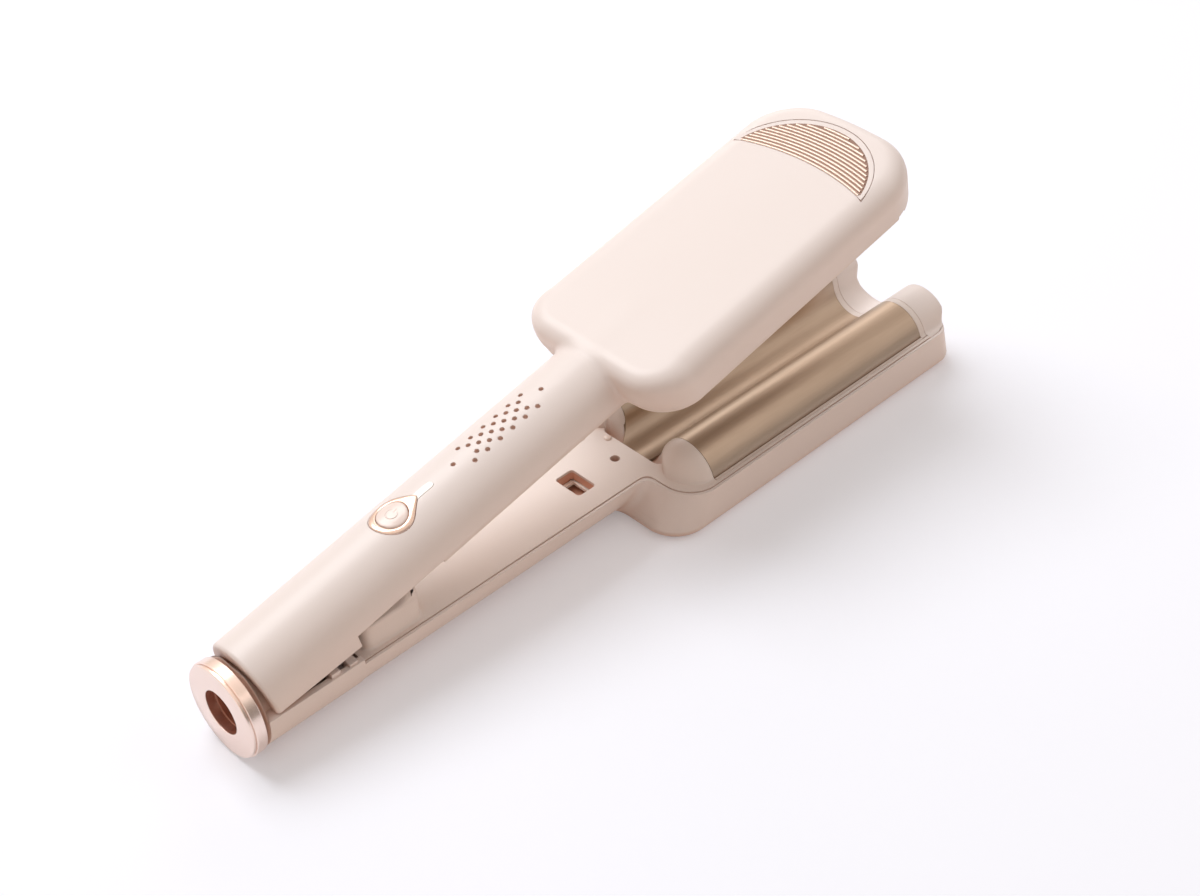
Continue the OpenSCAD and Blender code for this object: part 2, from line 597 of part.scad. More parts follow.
// ---- hinge ----
module lower_hinge_bracket() color("lightgray") at_tail() difference() {
    intersection() {
        union() {
            for (s = [-1, 1]) {
                rod_y(cheek_r, s * cheek_y - cheek_t / 2, s * cheek_y + cheek_t / 2, hinge_x, hinge_z);
                bar(hinge_x - cheek_r, hinge_x + cheek_r, s * cheek_y - cheek_t / 2,
                    s * cheek_y + cheek_t / 2, 0, hinge_z);
            }
            box(hinge_x - cheek_r, collar_end - wall - 0.2, cheek_y + cheek_t / 2, 0, bracket_floor);
        }
        rod_x(collar_bore - fit_gap, 10, collar_end, 0, ring_z);
    }
    rod_y(pin_r + 0.02, -20, 20, hinge_x, hinge_z);
    for (s = [-1, 1]) rod_z(screw_r + fit_gap, 0, 20, bracket_screw_x, s * bracket_screw_y);
}

module upper_hinge_bracket() color("lightgray") opened() difference() {
    intersection() {
        union() {
            for (s = [-1, 1]) {
                rod_y(cheek_r - 0.2, s * upper_cheek_y - cheek_t / 2, s * upper_cheek_y + cheek_t / 2,
                    hinge_x, hinge_z);
                bar(hinge_x - cheek_r + 0.2, hinge_x + cheek_r - 0.2, s * upper_cheek_y - cheek_t / 2,
                    s * upper_cheek_y + cheek_t / 2, hinge_z, 60);
            }
            box(hinge_x - cheek_r + 0.2, collar_end - 3, 9.5, plate_top - plate_depth, plate_top);
        }
        along_x(0, 60) oval_section(-wall - fit_gap, 20);
    }
    rod_y(pin_r + pin_play, -20, 20, hinge_x, hinge_z);
    for (s = [-1, 1]) rod_z(screw_r + fit_gap, 0, 60, upper_bracket_screw_x, s * bracket_screw_y);
}

module hinge_pin() color("silver") at_tail() {
    side = cheek_y + cheek_t / 2;
    rod_y(pin_r, -side - 0.8, side + 0.5, hinge_x, hinge_z);
    rod_y(pin_r + 0.9, side + fit_gap, side + 1.1, hinge_x, hinge_z);
}

coil_r = 3.6;
coil_w = (spring_wire + 0.15) * spring_turns;
function coil_point(i, n) = let (a = 90 + 360 * spring_turns * i / n)
    [hinge_x + coil_r * cos(a), -coil_w / 2 + coil_w * i / n, hinge_z + coil_r * sin(a)];
spring_path = concat(
    [[hinge_x + 11, -coil_w / 2, hinge_z + 11.9]],
    [for (i = [0:12 * spring_turns + 3]) coil_point(i, 12 * spring_turns)],
    [[hinge_x + 8, coil_w / 2 + 0.4, bracket_floor + 1.6],
        [hinge_x + 14, coil_w / 2 + 0.4, bracket_floor + 0.75]]);

function unit(v) = v / norm(v);
function heading(p, i) = unit(p[min(i + 1, len(p) - 1)] - p[max(i - 1, 0)]);
function loop_at(p, i, r) = let (t = heading(p, i), s = [0, 1, 0],
    u = unit(s - t * (s * t)), v = cross(t, u))
    [for (k = [0:7]) p[i] + r * (cos(45 * k) * u + sin(45 * k) * v)];

// A round wire of radius r swept along the points p.
module wire(p, r) {
    n = len(p);
    points = [for (i = [0:n - 1]) for (q = loop_at(p, i, r)) q];
    sides = [for (i = [0:n - 2]) for (k = [0:7])
        [8 * i + k, 8 * i + (k + 1) % 8, 8 * (i + 1) + (k + 1) % 8, 8 * (i + 1) + k]];
    ends = [[for (k = [7:-1:0]) k], [for (k = [0:7]) 8 * (n - 1) + k]];
    polyhedron(points, concat(sides, ends));
}

module torsion_spring() color("silver") at_tail() wire(spring_path, spring_wire / 2);

// ---- upper arm ----
module vents() for (i = [0:14]) for (j = [-2:2])
    if (vent_there(i, j))
        rod_z(vent_d / 2, up_z + 5, up_z + 30, button_x + 27.2 + i * vent_pitch, j * 2.2, $fn = 16);
function vent_there(i, j) =
    i == 0 || i == 14 ? j == 0 :
    i == 1 || i == 13 ? false :
    i == 2 || i == 12 ? abs(j) == 2 :
    i % 2 == 0 ? abs(j) != 1 : abs(j) == 1;

module upper_cover() color("linen") opened() difference() {
    union() {
        difference() {
            union() {
                along_x(tail_x, upper_head_x + 12) oval_section(0, 6.5);
                upper_block(0, up_rim, uhead_top);
            }
            along_x(tail_x + wall, upper_head_x + 13) oval_section(-wall, 12);
            along_x(tail_x - 1, tail_x + 6) translate([0, -wall]) oval_section(-wall - 1.4, 12);
            upper_block(-wall, up_rim - 1, uhead_top);
            translate([0, 30, 0]) rotate([90, 0, 0]) linear_extrude(60) polygon([
                [0, 0], [0, up_z - skirt_tail + 0.7], [tail_x, up_z - skirt_tail],
                [skirt_end, up_z - skirt_head],
                [skirt_end, up_rim], [total_len, up_rim], [total_len, 0]]);
        }
        intersection() {
            union() {
                for (p = cover_posts) rod_z(3, seat_z, 80, p.x, p.y);
                for (p = board_posts) rod_z(2.4, board_z + board_t, 80, p.x, p.y);
                for (s = [-1, 1]) rod_z(2.6, plate_top, 80, upper_bracket_screw_x, s * bracket_screw_y);
            }
            union() {
                along_x(tail_x + 20, upper_head_x + 5) oval_section(-wall / 2, 0);
                upper_block(-wall / 2, up_rim - 1, uhead_top);
            }
        }
    }
    for (p = cover_posts) rod_z(screw_r + fit_gap, 0, up_z + 9, p.x, p.y);
    for (p = board_posts) rod_z(board_screw_r + fit_gap, 0, board_z + board_t + 5, p.x, p.y);
    for (s = [-1, 1]) rod_z(screw_r + fit_gap, 0, plate_top + 5, upper_bracket_screw_x,
        s * bracket_screw_y);
    vents();
    linear_cut() teardrop(0);
    grip_area(slack / 2, uhead_top - 1, uhead_top + 1);
    barrel_room(upper_plate_end + 2, uhead_end + 1);
}

// Outline of the button's bezel with its stem, grown by g.
module teardrop(g) {
    hull() {
        translate([button_x, 0]) circle(r = button_r + 2 + g);
        translate([button_x + 8.4, 0]) circle(r = 1.6 + g);
    }
    translate([button_x + 8, -1.4 - g]) square([9.3 + g, 2.8 + 2 * g]);
}
module linear_cut() translate([0, 0, up_z + 6]) linear_extrude(20) children();

module button_bezel() color("burlywood") opened() difference() {
    intersection() {
        linear_cut() teardrop(-fit_gap);
        along_x(button_x - 24, button_x + 36) oval_section(0.5, 0);
    }
    along_x(button_x - 24, button_x + 36) oval_section(-wall - 0.6, 10);
    rod_z(button_r + slack, 0, 90, button_x, 0);
    box(button_x + 8.6, button_x + 36, 10, 0, 90);
}

module indicator_lens() color("white") opened() {
    intersection() {
        linear_cut() teardrop(-fit_gap);
        difference() {
            along_x(button_x - 24, button_x + 36) oval_section(0.4, 0);
            along_x(button_x - 24, button_x + 36) oval_section(-wall, 10);
        }
        box(button_x + 8.6 + fit_gap, button_x + 36, 10, 0, 90);
    }
    box(button_x + 13, button_x + 16, 1.2, board_z + board_t + 1.4,
        up_rim + upper_handle_h - flange_t - wall);
}

module power_button() color("mistyrose") opened() {
    intersection() {
        rod_z(button_r, up_rim + upper_handle_h - flange_t - 3, 90, button_x, 0);
        along_x(button_x - 24, button_x + 36) oval_section(0.9, 0);
    }
    rod_z(1.6, board_z + board_t + 4.35, up_rim + upper_handle_h - flange_t - 2.9, button_x, 0);
}

module power_switch() color("black") opened() {
    box(button_x - 3, button_x + 3, 3, board_z + board_t, board_z + board_t + 3);
    rod_z(1.7, board_z + board_t + 2.9, board_z + board_t + 4.3 - button_travel - 0.05, button_x, 0);
}

module circuit_board() color("darkgreen") opened() difference() {
    box(board_x, board_end, board_y, board_z, board_z + board_t);
    for (p = board_posts) rod_z(board_screw_r + 0.1, 0, 90, p.x, p.y);
    rod_z(3.3, 0, 90, cover_posts[0].x, 0);
}

module board_components() color("dimgray") opened() {
    top = board_z + board_t;
    x = button_x;
    box(x + 24, x + 34, 5, top, top + 3.2);
    bar(x + 38, x + 48, -7, -1, top, top + 4.5);
    rod_z(3, top, top + 5, x + 43, 4);
    bar(x + 52, x + 59, -6, 6, top, top + 2.6);
    box(x + 14.8, x + 16.6, 1, top, top + 1.3);
    for (s = [0, 1]) mirror([0, s, 0]) bar(x + 6, x + 12, 4, 9, board_z - 3.4, board_z);
}

module board_screws() color("gray") opened()
    for (p = board_posts) translate([p.x, p.y, board_z + 4]) mirror([0, 0, 1]) {
        cylinder(r = board_screw_r, h = 4, $fn = 24);
        translate([0, 0, 4]) cylinder(r = 1.6, h = 1.1, $fn = 32);
    }

module upper_face(z0, z1, g) {
    box(upper_cover_x, upper_head_x + 12, handle_r - g, z0, z1);
    pad(upper_head_x + g, uhead_end - g, uhead_y - g, 14, 25 - g, z0, z1);
}

module upper_inner_cover() color("mistyrose") opened() difference() {
    union() {
        upper_face(up_z, up_rim, 0);
        difference() {
            upper_face(up_rim - eps, up_rim + 2.2, wall + 0.5);
            upper_face(0, up_rim + 3, wall + 1.9);
        }
        box(upper_plate_x - 13, upper_plate_x, uhead_y - 2.9, up_rim - eps, seat_z - fit_gap);
        intersection() {
            box(upper_plate_end, uhead_end, uhead_y - 2.9, up_rim - eps, seat_z - fit_gap);
            upper_face(up_rim - 1, seat_z, wall + 0.5);
        }
        intersection() {
            union() {
                translate([upper_plate_x, 0, valley_c]) sphere(r = tongue_r);
                rod_z(tongue_r - 1, valley_c, up_rim, upper_plate_x);
            }
            box(upper_plate_x - valley_r, upper_plate_x, valley_r, 0, up_rim + 0.5);
        }
        intersection() {
            union() {
                rod_x(tongue_r, upper_plate_end, uhead_end - 2, 0, valley_c);
                box(upper_plate_end, uhead_end - 2, tongue_r - 1, valley_c, up_rim);
            }
            box(upper_plate_end, uhead_end, valley_r, 0, up_rim);
        }
        for (p = cover_posts) rod_z(3, up_rim - eps, seat_z - fit_gap, p.x, p.y);
    }
    hump_ends(plate_gap);
    barrel_room(plate_x - 2, upper_plate_x + 1);
    barrel_room(upper_plate_end - 1, uhead_end + 1);
    box(upper_plate_x, upper_plate_end, edge_y + 0.33, 0, uhead_top);
    for (p = cover_posts) {
        rod_z(screw_r + fit_gap, 0, 60, p.x, p.y);
        rod_z(head_r + 0.2, 0, up_z + 1.9, p.x, p.y);
    }
    bar(pocket_x + hook_stem[0] - fit_gap, pocket_x + hook_stem[1] + hook_foot + fit_gap, -3.7, 3.7,
        0, uhead_top);
}

// Room for the lower barrels in the upper arm.
module barrel_room(x0, x1) along_x(x0, x1)
    polygon(concat([[-head_y, 0]], full_curve(plate_gap, up_z - 4), [[head_y, 0]]));

module upper_heating_plate() color("tan") opened() along_x(upper_plate_x, upper_plate_end)
    polygon(concat(full_curve(plate_gap, up_z - 1), back(full_curve(plate_gap + plate_t, up_z - 1))));

module upper_plate_carrier() color("bisque") opened() {
    for (s = [0, 1]) mirror([0, s, 0]) difference() {
        bar(upper_plate_x + 0.1, upper_plate_end - 0.1, edge_y - 5.3, edge_y + 0.23, up_z - 0.8, up_z + 6);
        along_x(upper_plate_x - 1, upper_plate_end + 1)
            polygon(concat([[0, 0]], half_curve(plate_gap + plate_t + 0.02, up_z - 3), [[head_y, 0]]));
        bar(upper_plate_x - 1, upper_plate_end + 1, barrel_y - 1, edge_y - 3.3, up_z, up_z + 3);
    }
    for (x = [upper_plate_x + 7, upper_mid - 2, upper_plate_end - 11]) for (s = [0, 1]) mirror([0, s, 0])
        bar(x, x + 6, edge_y - 3.3, uhead_y - 2.7, up_z + 5, up_z + 7.4);
}

module upper_heater() color("dimgray") opened() intersection() {
    rod_x(valley_r - plate_gap - plate_t - 0.02, upper_heater_x, upper_heater_end, 0, valley_c);
    box(upper_heater_x, upper_heater_end, 6.4, 0, upper_clip_z);
}

module upper_heater_clip() color("silver") opened() {
    box(upper_heater_x + 2, upper_heater_end - 2, 4.6, upper_clip_z, upper_clip_z + clip_t);
    for (x = [upper_heater_x + 8, upper_heater_end - 16])
        box(x, x + 8, 4, upper_clip_z + clip_t, uhead_top - wall);
}

module thermal_fuse() color("white") opened() {
    z = upper_clip_z + clip_t + 1.4;
    middle = (upper_heater_x + upper_heater_end) / 2;
    rod_x(1.4, middle - 7, middle + 7, 0, z);
    rod_x(0.4, middle - 11, middle + 11, 0, z);
}

// ---- grip ----
module grip_plan(g) difference() {
    translate([rib_start + grip_len - grip_r, 0]) circle(r = grip_r + g);
    translate([rib_start - rib_arc, 0]) circle(r = rib_arc - g, $fn = 128);
}
module grip_area(g, z0, z1) translate([0, 0, z0]) linear_extrude(z1 - z0) grip_plan(g);

module grip_insert() color("rosybrown") opened() {
    pitch = grip_len / rib_count;
    grip_area(-0.1, uhead_top - 1, uhead_top - 0.1);
    for (i = [0:rib_count - 1]) translate([0, 0, uhead_top - 0.2]) linear_extrude(rib_h) intersection() {
        grip_plan(-0.6);
        difference() {
            translate([rib_start - rib_arc, 0]) circle(r = rib_arc + (i + 0.85) * pitch, $fn = 128);
            translate([rib_start - rib_arc, 0]) circle(r = rib_arc + (i + 0.3) * pitch, $fn = 128);
        }
    }
}

module upper_screws() color("gray") opened()
    for (p = cover_posts) translate([p.x, p.y, up_z + 8]) mirror([0, 0, 1]) screw(8 - 1.9);

// ---- leads ----
module supply_leads() color("firebrick") at_tail() for (s = [-1, 1])
    wire([[swivel_end + 0.3, s * 1.1, ring_z], [swivel_end + 2.5, s * 1.6, ring_z - 3],
        [hinge_x - 2, s * 2, floor_lead_z + 1.2], [hinge_x + 4, s * 2, floor_lead_z],
        [bracket_screw_x, s * 2, floor_lead_z], [bracket_screw_x + 4, s * 2, floor_lead_z + 3.6],
        [bracket_screw_x + 6, s * 2, ring_z + 2], [lug_x - 1.5, s * 2, tunnel_z],
        [lug_x + 3.5, s * 2, tunnel_z], [post_x - 6.5, s * 1.6, tunnel_z],
        [post_x - 1.5, s * 1.4, tunnel_z + 1],
        [post_x + 0.5, s * 1.3, tunnel_z + 4.5], [post_x + 0.5, s * 1.3, post_z - 1.5]], lead_r);

module lower_heater_leads() color("firebrick") at_tail() for (s = [-1, 1])
    wire([[lug_x + 13.5, s * 6, rim_z + 3.8], [lug_x + 19.5, s * 6, rim_z + 1.8],
        [lug_end + 2, s * 6, rim_z - 5.2], [lug_end + 14, s * 6, rim_z - 8.2],
        [pocket_x - 11.5, s * 6.2, rim_z - 8.7],
        [head_x + 3, s * 6.5, rim_z - 7.7], [plate_x - 10, s * 12, rim_z - 7.7],
        [plate_x, s * barrel_y, rim_z - 3.2], [plate_x + 6, s * heater_y, heater_z - 0.2],
        [plate_x + 10, s * heater_y, heater_z + 1.4],
        [heater_x - 0.1, s * heater_y, heater_z + 1.4]], lead_r);

module upper_leads() color("firebrick") opened() for (s = [-1, 1])
    wire([[button_x + 12.4, s * 5, board_z - 1.7], [button_x + 17, s * 3.2, board_z - 1.7],
        [button_x + 36, s * 3, board_z - 1.7], [board_end, s * 3, board_z - 1],
        [upper_head_x + 9.2, s * 4, up_z + 7.6], [upper_plate_x + 1, s * 4, up_z + 7.6],
        [upper_plate_x + 5, s * 4, upper_floor + 8.9], [upper_plate_x + 8, s * 4, upper_floor + 3],
        [upper_heater_x - 0.1, s * 4, upper_floor + 3]], lead_r);

lower_shell();
lower_inner_cover();
tip_cap();
lower_heating_plate();
lower_plate_carrier();
lower_heaters();
lower_heater_clips();
lower_thermistor();
cover_screws();
carrier_screws();
stop_bumper();
tail_ring();
swivel_sleeve();
contact_rings();
contact_block();
contact_brushes();
hinge_pin();
lower_hinge_bracket();
lower_bracket_screws();
upper_hinge_bracket();
upper_bracket_screws();
torsion_spring();
lock_slider();
lock_hook();
supply_leads();
lower_heater_leads();
upper_cover();
upper_inner_cover();
upper_heating_plate();
upper_plate_carrier();
upper_heater();
upper_heater_clip();
thermal_fuse();
circuit_board();
board_components();
power_switch();
power_button();
button_bezel();
indicator_lens();
grip_insert();
upper_screws();
board_screws();
upper_leads();
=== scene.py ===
import json
import math

import bmesh
import bpy
import numpy as np
from mathutils import Matrix, Vector


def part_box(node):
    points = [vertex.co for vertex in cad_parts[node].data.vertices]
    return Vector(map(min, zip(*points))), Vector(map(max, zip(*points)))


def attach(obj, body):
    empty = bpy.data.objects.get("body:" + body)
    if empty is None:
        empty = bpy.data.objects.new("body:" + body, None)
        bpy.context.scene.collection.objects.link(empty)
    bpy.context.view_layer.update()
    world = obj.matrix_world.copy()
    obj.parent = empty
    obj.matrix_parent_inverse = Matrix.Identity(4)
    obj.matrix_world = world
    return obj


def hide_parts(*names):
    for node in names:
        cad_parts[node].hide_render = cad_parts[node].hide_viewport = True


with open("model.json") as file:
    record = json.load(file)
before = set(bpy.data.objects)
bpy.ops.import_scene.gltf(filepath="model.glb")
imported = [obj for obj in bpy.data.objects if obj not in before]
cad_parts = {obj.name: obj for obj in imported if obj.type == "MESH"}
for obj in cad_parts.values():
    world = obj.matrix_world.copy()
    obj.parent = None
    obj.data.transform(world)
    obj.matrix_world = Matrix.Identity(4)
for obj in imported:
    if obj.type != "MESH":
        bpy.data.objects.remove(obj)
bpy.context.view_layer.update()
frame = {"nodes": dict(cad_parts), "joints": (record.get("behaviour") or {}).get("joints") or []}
scene = bpy.context.scene
print("frame loaded:", len(frame["nodes"]), "nodes")

# Pieces are drawn in millimetres on the closed arms: x from the tail ring's face, z up from the table.
# The last step of each one takes it to metres and to its arm's place.
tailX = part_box("tail_ring")[0].x
hinge = next(joint for joint in frame["joints"] if joint["name"] == "arm_hinge")
pivot = Matrix.Translation(Vector(hinge["pos_m"]))
toLower = Matrix.Translation((tailX, 0, 0)) @ Matrix.Scale(0.001, 4)
toUpper = pivot @ Matrix.Rotation(-math.radians(hinge["range_deg"][1]), 4, "Y") @ pivot.inverted() @ toLower


# node trees: one class to wrap a socket, one to add nodes

class Value:
    def __init__(self, tree, socket):
        self.tree = tree
        self.socket = socket

    def math(self, operation, first, second):
        return self.tree.add("ShaderNodeMath", {0: first, 1: second}, operation=operation)

    def __add__(self, other):
        return self.math("ADD", self, other)

    def __radd__(self, other):
        return self.math("ADD", other, self)

    def __sub__(self, other):
        return self.math("SUBTRACT", self, other)

    def __rsub__(self, other):
        return self.math("SUBTRACT", other, self)

    def __mul__(self, other):
        return self.math("MULTIPLY", self, other)

    def __rmul__(self, other):
        return self.math("MULTIPLY", other, self)


class Tree:
    def __init__(self, tree):
        self.tree = tree

    def add(self, kind, values=None, output=0, **settings):
        node = self.tree.nodes.new(kind)
        for key, setting in settings.items():
            setattr(node, key, setting)
        for key, value in (values or {}).items():
            for item in value if isinstance(value, list) else [value]:
                if isinstance(item, Value):
                    self.tree.links.new(item.socket, node.inputs[key])
                else:
                    node.inputs[key].default_value = item
        return Value(self, node.outputs[output]) if len(node.outputs) else node

    def mix(self, factor, first, second):
        return self.add("ShaderNodeMix", {0: factor, 6: first, 7: second}, 2, data_type="RGBA")

    def smooth(self, value, fromLow, fromHigh, low, high):
        return self.add("ShaderNodeMapRange", {0: value, 1: fromLow, 2: fromHigh, 3: low, 4: high},
                        interpolation_type="SMOOTHSTEP")


def emptyTree(owner):
    owner.use_nodes = True
    owner.node_tree.nodes.clear()
    return Tree(owner.node_tree)


def linear(red, green, blue):
    return tuple(((c / 255 + 0.055) / 1.055) ** 2.4 for c in (red, green, blue)) + (1,)


# finishes: colour runs into tone over the surface, grain is the fine speckle, in repeats per metre,
# edge softens cut edges by that many millimetres, and the gap colour is painted shade mixed in where gaps
# are narrow

finishes = {
    # casing and inner plastic carry a warm painted-shade colour for their narrow gaps
    "casing": {"colour": (239, 230, 227), "tone": (235, 225, 220), "rough": (0.38, 0.46), "coat": 0.06,
               "grain": 2600, "bump": 0.04, "edge": 0.35, "paintedGapShade": (222, 184, 164)},
    "inner_plastic": {"colour": (238, 229, 224), "tone": (234, 222, 215), "rough": (0.36, 0.44),
                      "coat": 0.08, "grain": 2600, "bump": 0.05, "edge": 0.3, "paintedGapShade": (222, 184, 164)},
    # the lock pocket's plastic, coloured darker and pinker as painted shade for the recess
    "pocket_painted_shade": {"colour": (230, 178, 154), "tone": (222, 166, 140), "rough": (0.4, 0.5), "coat": 0.05,
                    "grain": 2600, "bump": 0.04, "edge": 0.2},
    "plate_metal": {"colour": (193, 174, 156), "tone": (171, 150, 131), "rough": (0.34, 0.46), "metal": 1,
                    "grain": 900, "stretch": (0.06, 1, 1), "bump": 0.07, "edge": 0.2},
    "rose_metal": {"colour": (248, 230, 220), "tone": (238, 214, 202), "rough": (0.20, 0.30), "metal": 1,
                   "grain": 1600, "stretch": (1, 0.15, 0.15), "bump": 0.04, "edge": 0.25},
    "rib_metal": {"colour": (200, 180, 167), "tone": (186, 162, 149), "rough": (0.28, 0.36), "metal": 0.6,
                  "grain": 1500, "bump": 0.03},
    # the bed under the grip's ribs, brown as painted shade in the grooves
    "groove_painted_shade": {"colour": (150, 118, 102), "tone": (136, 106, 92), "rough": (0.4, 0.5), "metal": 0.2,
                     "grain": 1500, "bump": 0.03, "edge": 0.1},
    "bezel_metal": {"colour": (232, 208, 194), "tone": (216, 188, 172), "rough": (0.2, 0.3), "metal": 1,
                    "grain": 1600, "bump": 0.03, "edge": 0.15},
    "sleeve_brown": {"colour": (190, 128, 106), "tone": (160, 104, 84), "rough": (0.24, 0.34), "metal": 0.4,
                     "grain": 1600, "bump": 0.04, "edge": 0.2},
    "button_pink": {"colour": (243, 228, 221), "tone": (238, 221, 213), "rough": (0.28, 0.34), "coat": 0.3,
                    "grain": 2600, "bump": 0.03, "edge": 0.2},
    "lens_white": {"colour": (250, 246, 240), "tone": (246, 240, 233), "rough": (0.2, 0.26), "coat": 0.4,
                   "grain": 2000, "bump": 0.02, "edge": 0.15},
    "bumper_rubber": {"colour": (244, 230, 221), "tone": (236, 219, 209), "rough": (0.3, 0.4), "coat": 0.3,
                      "grain": 2000, "bump": 0.05, "edge": 0.1},
    "heater_ceramic": {"colour": (224, 220, 210), "tone": (204, 198, 188), "rough": (0.6, 0.75),
                       "grain": 1800, "bump": 0.12},
    "spring_steel": {"colour": (176, 172, 168), "tone": (150, 146, 142), "rough": (0.24, 0.36), "metal": 1,
                     "grain": 2200, "bump": 0.05},
    "screw_steel": {"colour": (164, 128, 110), "tone": (134, 100, 84), "rough": (0.28, 0.42), "metal": 1,
                    "grain": 2600, "bump": 0.06, "edge": 0.1},
    "bracket_steel": {"colour": (172, 158, 148), "tone": (140, 126, 116), "rough": (0.32, 0.46), "metal": 1,
                      "grain": 1200, "stretch": (0.2, 1, 1), "bump": 0.06, "edge": 0.2},
    "contact_brass": {"colour": (206, 170, 98), "tone": (176, 138, 70), "rough": (0.24, 0.36), "metal": 1,
                      "grain": 1800, "bump": 0.04},
    "lead_sleeve": {"colour": (150, 52, 44), "tone": (126, 40, 34), "rough": (0.45, 0.6),
                    "grain": 2400, "bump": 0.08},
    "board_green": {"colour": (34, 92, 56), "tone": (24, 70, 42), "rough": (0.3, 0.5), "coat": 0.2,
                    "grain": 1400, "bump": 0.08},
    "component_black": {"colour": (42, 40, 40), "tone": (30, 28, 28), "rough": (0.4, 0.6),
                        "grain": 2400, "bump": 0.1, "edge": 0.1},
}


def makeFinish(name, look):
    material = bpy.data.materials.new(name)
    tree = emptyTree(material)
    place = tree.add("ShaderNodeTexCoord", output=3)
    drift = tree.add("ShaderNodeTexNoise", {"Vector": place, "Scale": 14.0, "Detail": 3.0})
    turned = tree.add("ShaderNodeMapping", {"Vector": place, "Scale": look.get("stretch", (1, 1, 1))})
    grain = tree.add("ShaderNodeTexNoise", {"Vector": turned, "Scale": float(look["grain"]), "Detail": 2.0})
    colour = tree.mix(drift * 0.75 + grain * 0.35 - 0.05, linear(*look["colour"]), linear(*look["tone"]))
    if "paintedGapShade" in look:   # painted shade: the base colour turns warmer and darker in narrow gaps, standing in for light bounced between walls
        paintedShadeMask = 1 - tree.add("ShaderNodeAmbientOcclusion", {"Distance": 0.012}, output=1, samples=8)
        colour = tree.mix(paintedShadeMask * 1.2 - 0.25, colour, linear(*look["paintedGapShade"]))
    low, high = look["rough"]
    rough = low + grain * ((high - low) * 0.6) + drift * ((high - low) * 0.4)
    bump = {"Height": grain, "Strength": look["bump"], "Distance": 0.0002}
    if "edge" in look:
        bump["Normal"] = tree.add("ShaderNodeBevel", {"Radius": look["edge"] / 1000}, samples=4)
    shader = tree.add("ShaderNodeBsdfPrincipled", {
        "Base Color": colour, "Roughness": rough, "Metallic": float(look.get("metal", 0)),
        "Coat Weight": look.get("coat", 0.0), "Coat Roughness": 0.12,
        "Normal": tree.add("ShaderNodeBump", bump)})
    tree.add("ShaderNodeOutputMaterial", {"Surface": shader})
    return material


materials = {name: makeFinish(name, look) for name, look in finishes.items()}
print("finishes made:", len(materials))


# meshes

def meshObject(name, points, faces, edges=()):
    mesh = bpy.data.meshes.new(name)
    mesh.from_pydata([tuple(map(float, p)) for p in points], edges, [tuple(map(int, f)) for f in faces])
    mesh.validate()
    piece = bpy.data.objects.new(name, mesh)
    scene.collection.objects.link(piece)
    return piece


def tidyMesh(piece):
    shape = bmesh.new()
    shape.from_mesh(piece.data)
    bmesh.ops.remove_doubles(shape, verts=shape.verts, dist=1e-4)
    bmesh.ops.recalc_face_normals(shape, faces=shape.faces)
    shape.to_mesh(piece.data)
    shape.free()
    return piece


def bands(rings, steps, closed=False):
    # faces between neighbouring rings of points
    faces = []
    for i in range(rings if closed else rings - 1):
        a, b = i * steps, (i + 1) % rings * steps
        faces += [[a + k, a + (k + 1) % steps, b + (k + 1) % steps, b + k] for k in range(steps)]
    return faces


def ends(rings, steps):
    return [list(range(steps)), list(range((rings - 1) * steps, rings * steps))]


def prism(outline, low, high, axis="Z"):
    # axis Z lifts an outline in x and y, Y pulls one in x and z across, X one in y and z along
    turn = {"Z": lambda a, b, c: (a, b, c), "Y": lambda a, b, c: (a, c, b),
            "X": lambda a, b, c: (c, a, b)}[axis]
    n = len(outline)
    points = [turn(a, b, level) for level in (low, high) for a, b in outline]
    return tidyMesh(meshObject("prism", points, ends(2, n) + bands(2, n)))


def block(x0, x1, y0, y1, z0, z1):
    return prism([(x0, y0), (x1, y0), (x1, y1), (x0, y1)], z0, z1)


def lathe(profile, centre, axis="X", steps=96, closed=False):
    points = []
    for along, radius in profile:
        for k in range(steps):
            a = 2 * math.pi * k / steps
            side = (radius * math.cos(a), radius * math.sin(a))
            offset = (along, *side) if axis == "X" else (*side, along)
            points.append([c + o for c, o in zip(centre, offset)])
    return tidyMesh(meshObject("lathe", points, bands(len(profile), steps, closed)))


def rod(radius, low, high, centre, axis="X", steps=64):
    return lathe([(low, 0), (low, radius), (high, radius), (high, 0)], centre, axis, steps)


def applied(piece):
    # the evaluated shape as a plain mesh
    mesh = bpy.data.meshes.new_from_object(piece.evaluated_get(bpy.context.evaluated_depsgraph_get()))
    piece.modifiers.clear()
    piece.data = mesh
    return piece


def cut(piece, *tools, operation="DIFFERENCE"):
    # the slower solver takes over where the quick one gives nothing
    for tool in tools:
        before = piece.data
        for solver in ("MANIFOLD", "EXACT"):
            piece.data = before
            modifier = piece.modifiers.new("cut", "BOOLEAN")
            modifier.operation, modifier.object, modifier.solver = operation, tool, solver
            if len(applied(piece).data.polygons):
                break
        bpy.data.objects.remove(tool)
    return piece


def joined(*parts):
    shape = bmesh.new()
    for part in parts:
        shape.from_mesh(part.data)
        bpy.data.objects.remove(part)
    mesh = bpy.data.meshes.new("joined")
    shape.to_mesh(mesh)
    shape.free()
    piece = bpy.data.objects.new("joined", mesh)
    scene.collection.objects.link(piece)
    return piece


def done(piece, name, body, slot, *nodes, finish=None, sharp=32):
    piece.name = piece.data.name = name
    piece.data.transform(toUpper if body in ("upper_arm", "button") else toLower)
    piece.data.materials.clear()
    piece.data.materials.append(materials[finish or slot])
    faces = piece.data.polygons
    faces.foreach_set("material_index", [0] * len(faces))
    faces.foreach_set("use_smooth", [True] * len(faces))
    piece.data.set_sharp_from_angle(angle=math.radians(sharp))
    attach(piece, body)
    if nodes:
        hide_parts(*nodes)
    print(name, "done,", len(piece.data.polygons), "faces")


# shapes given by a distance: below nought inside, above nought outside

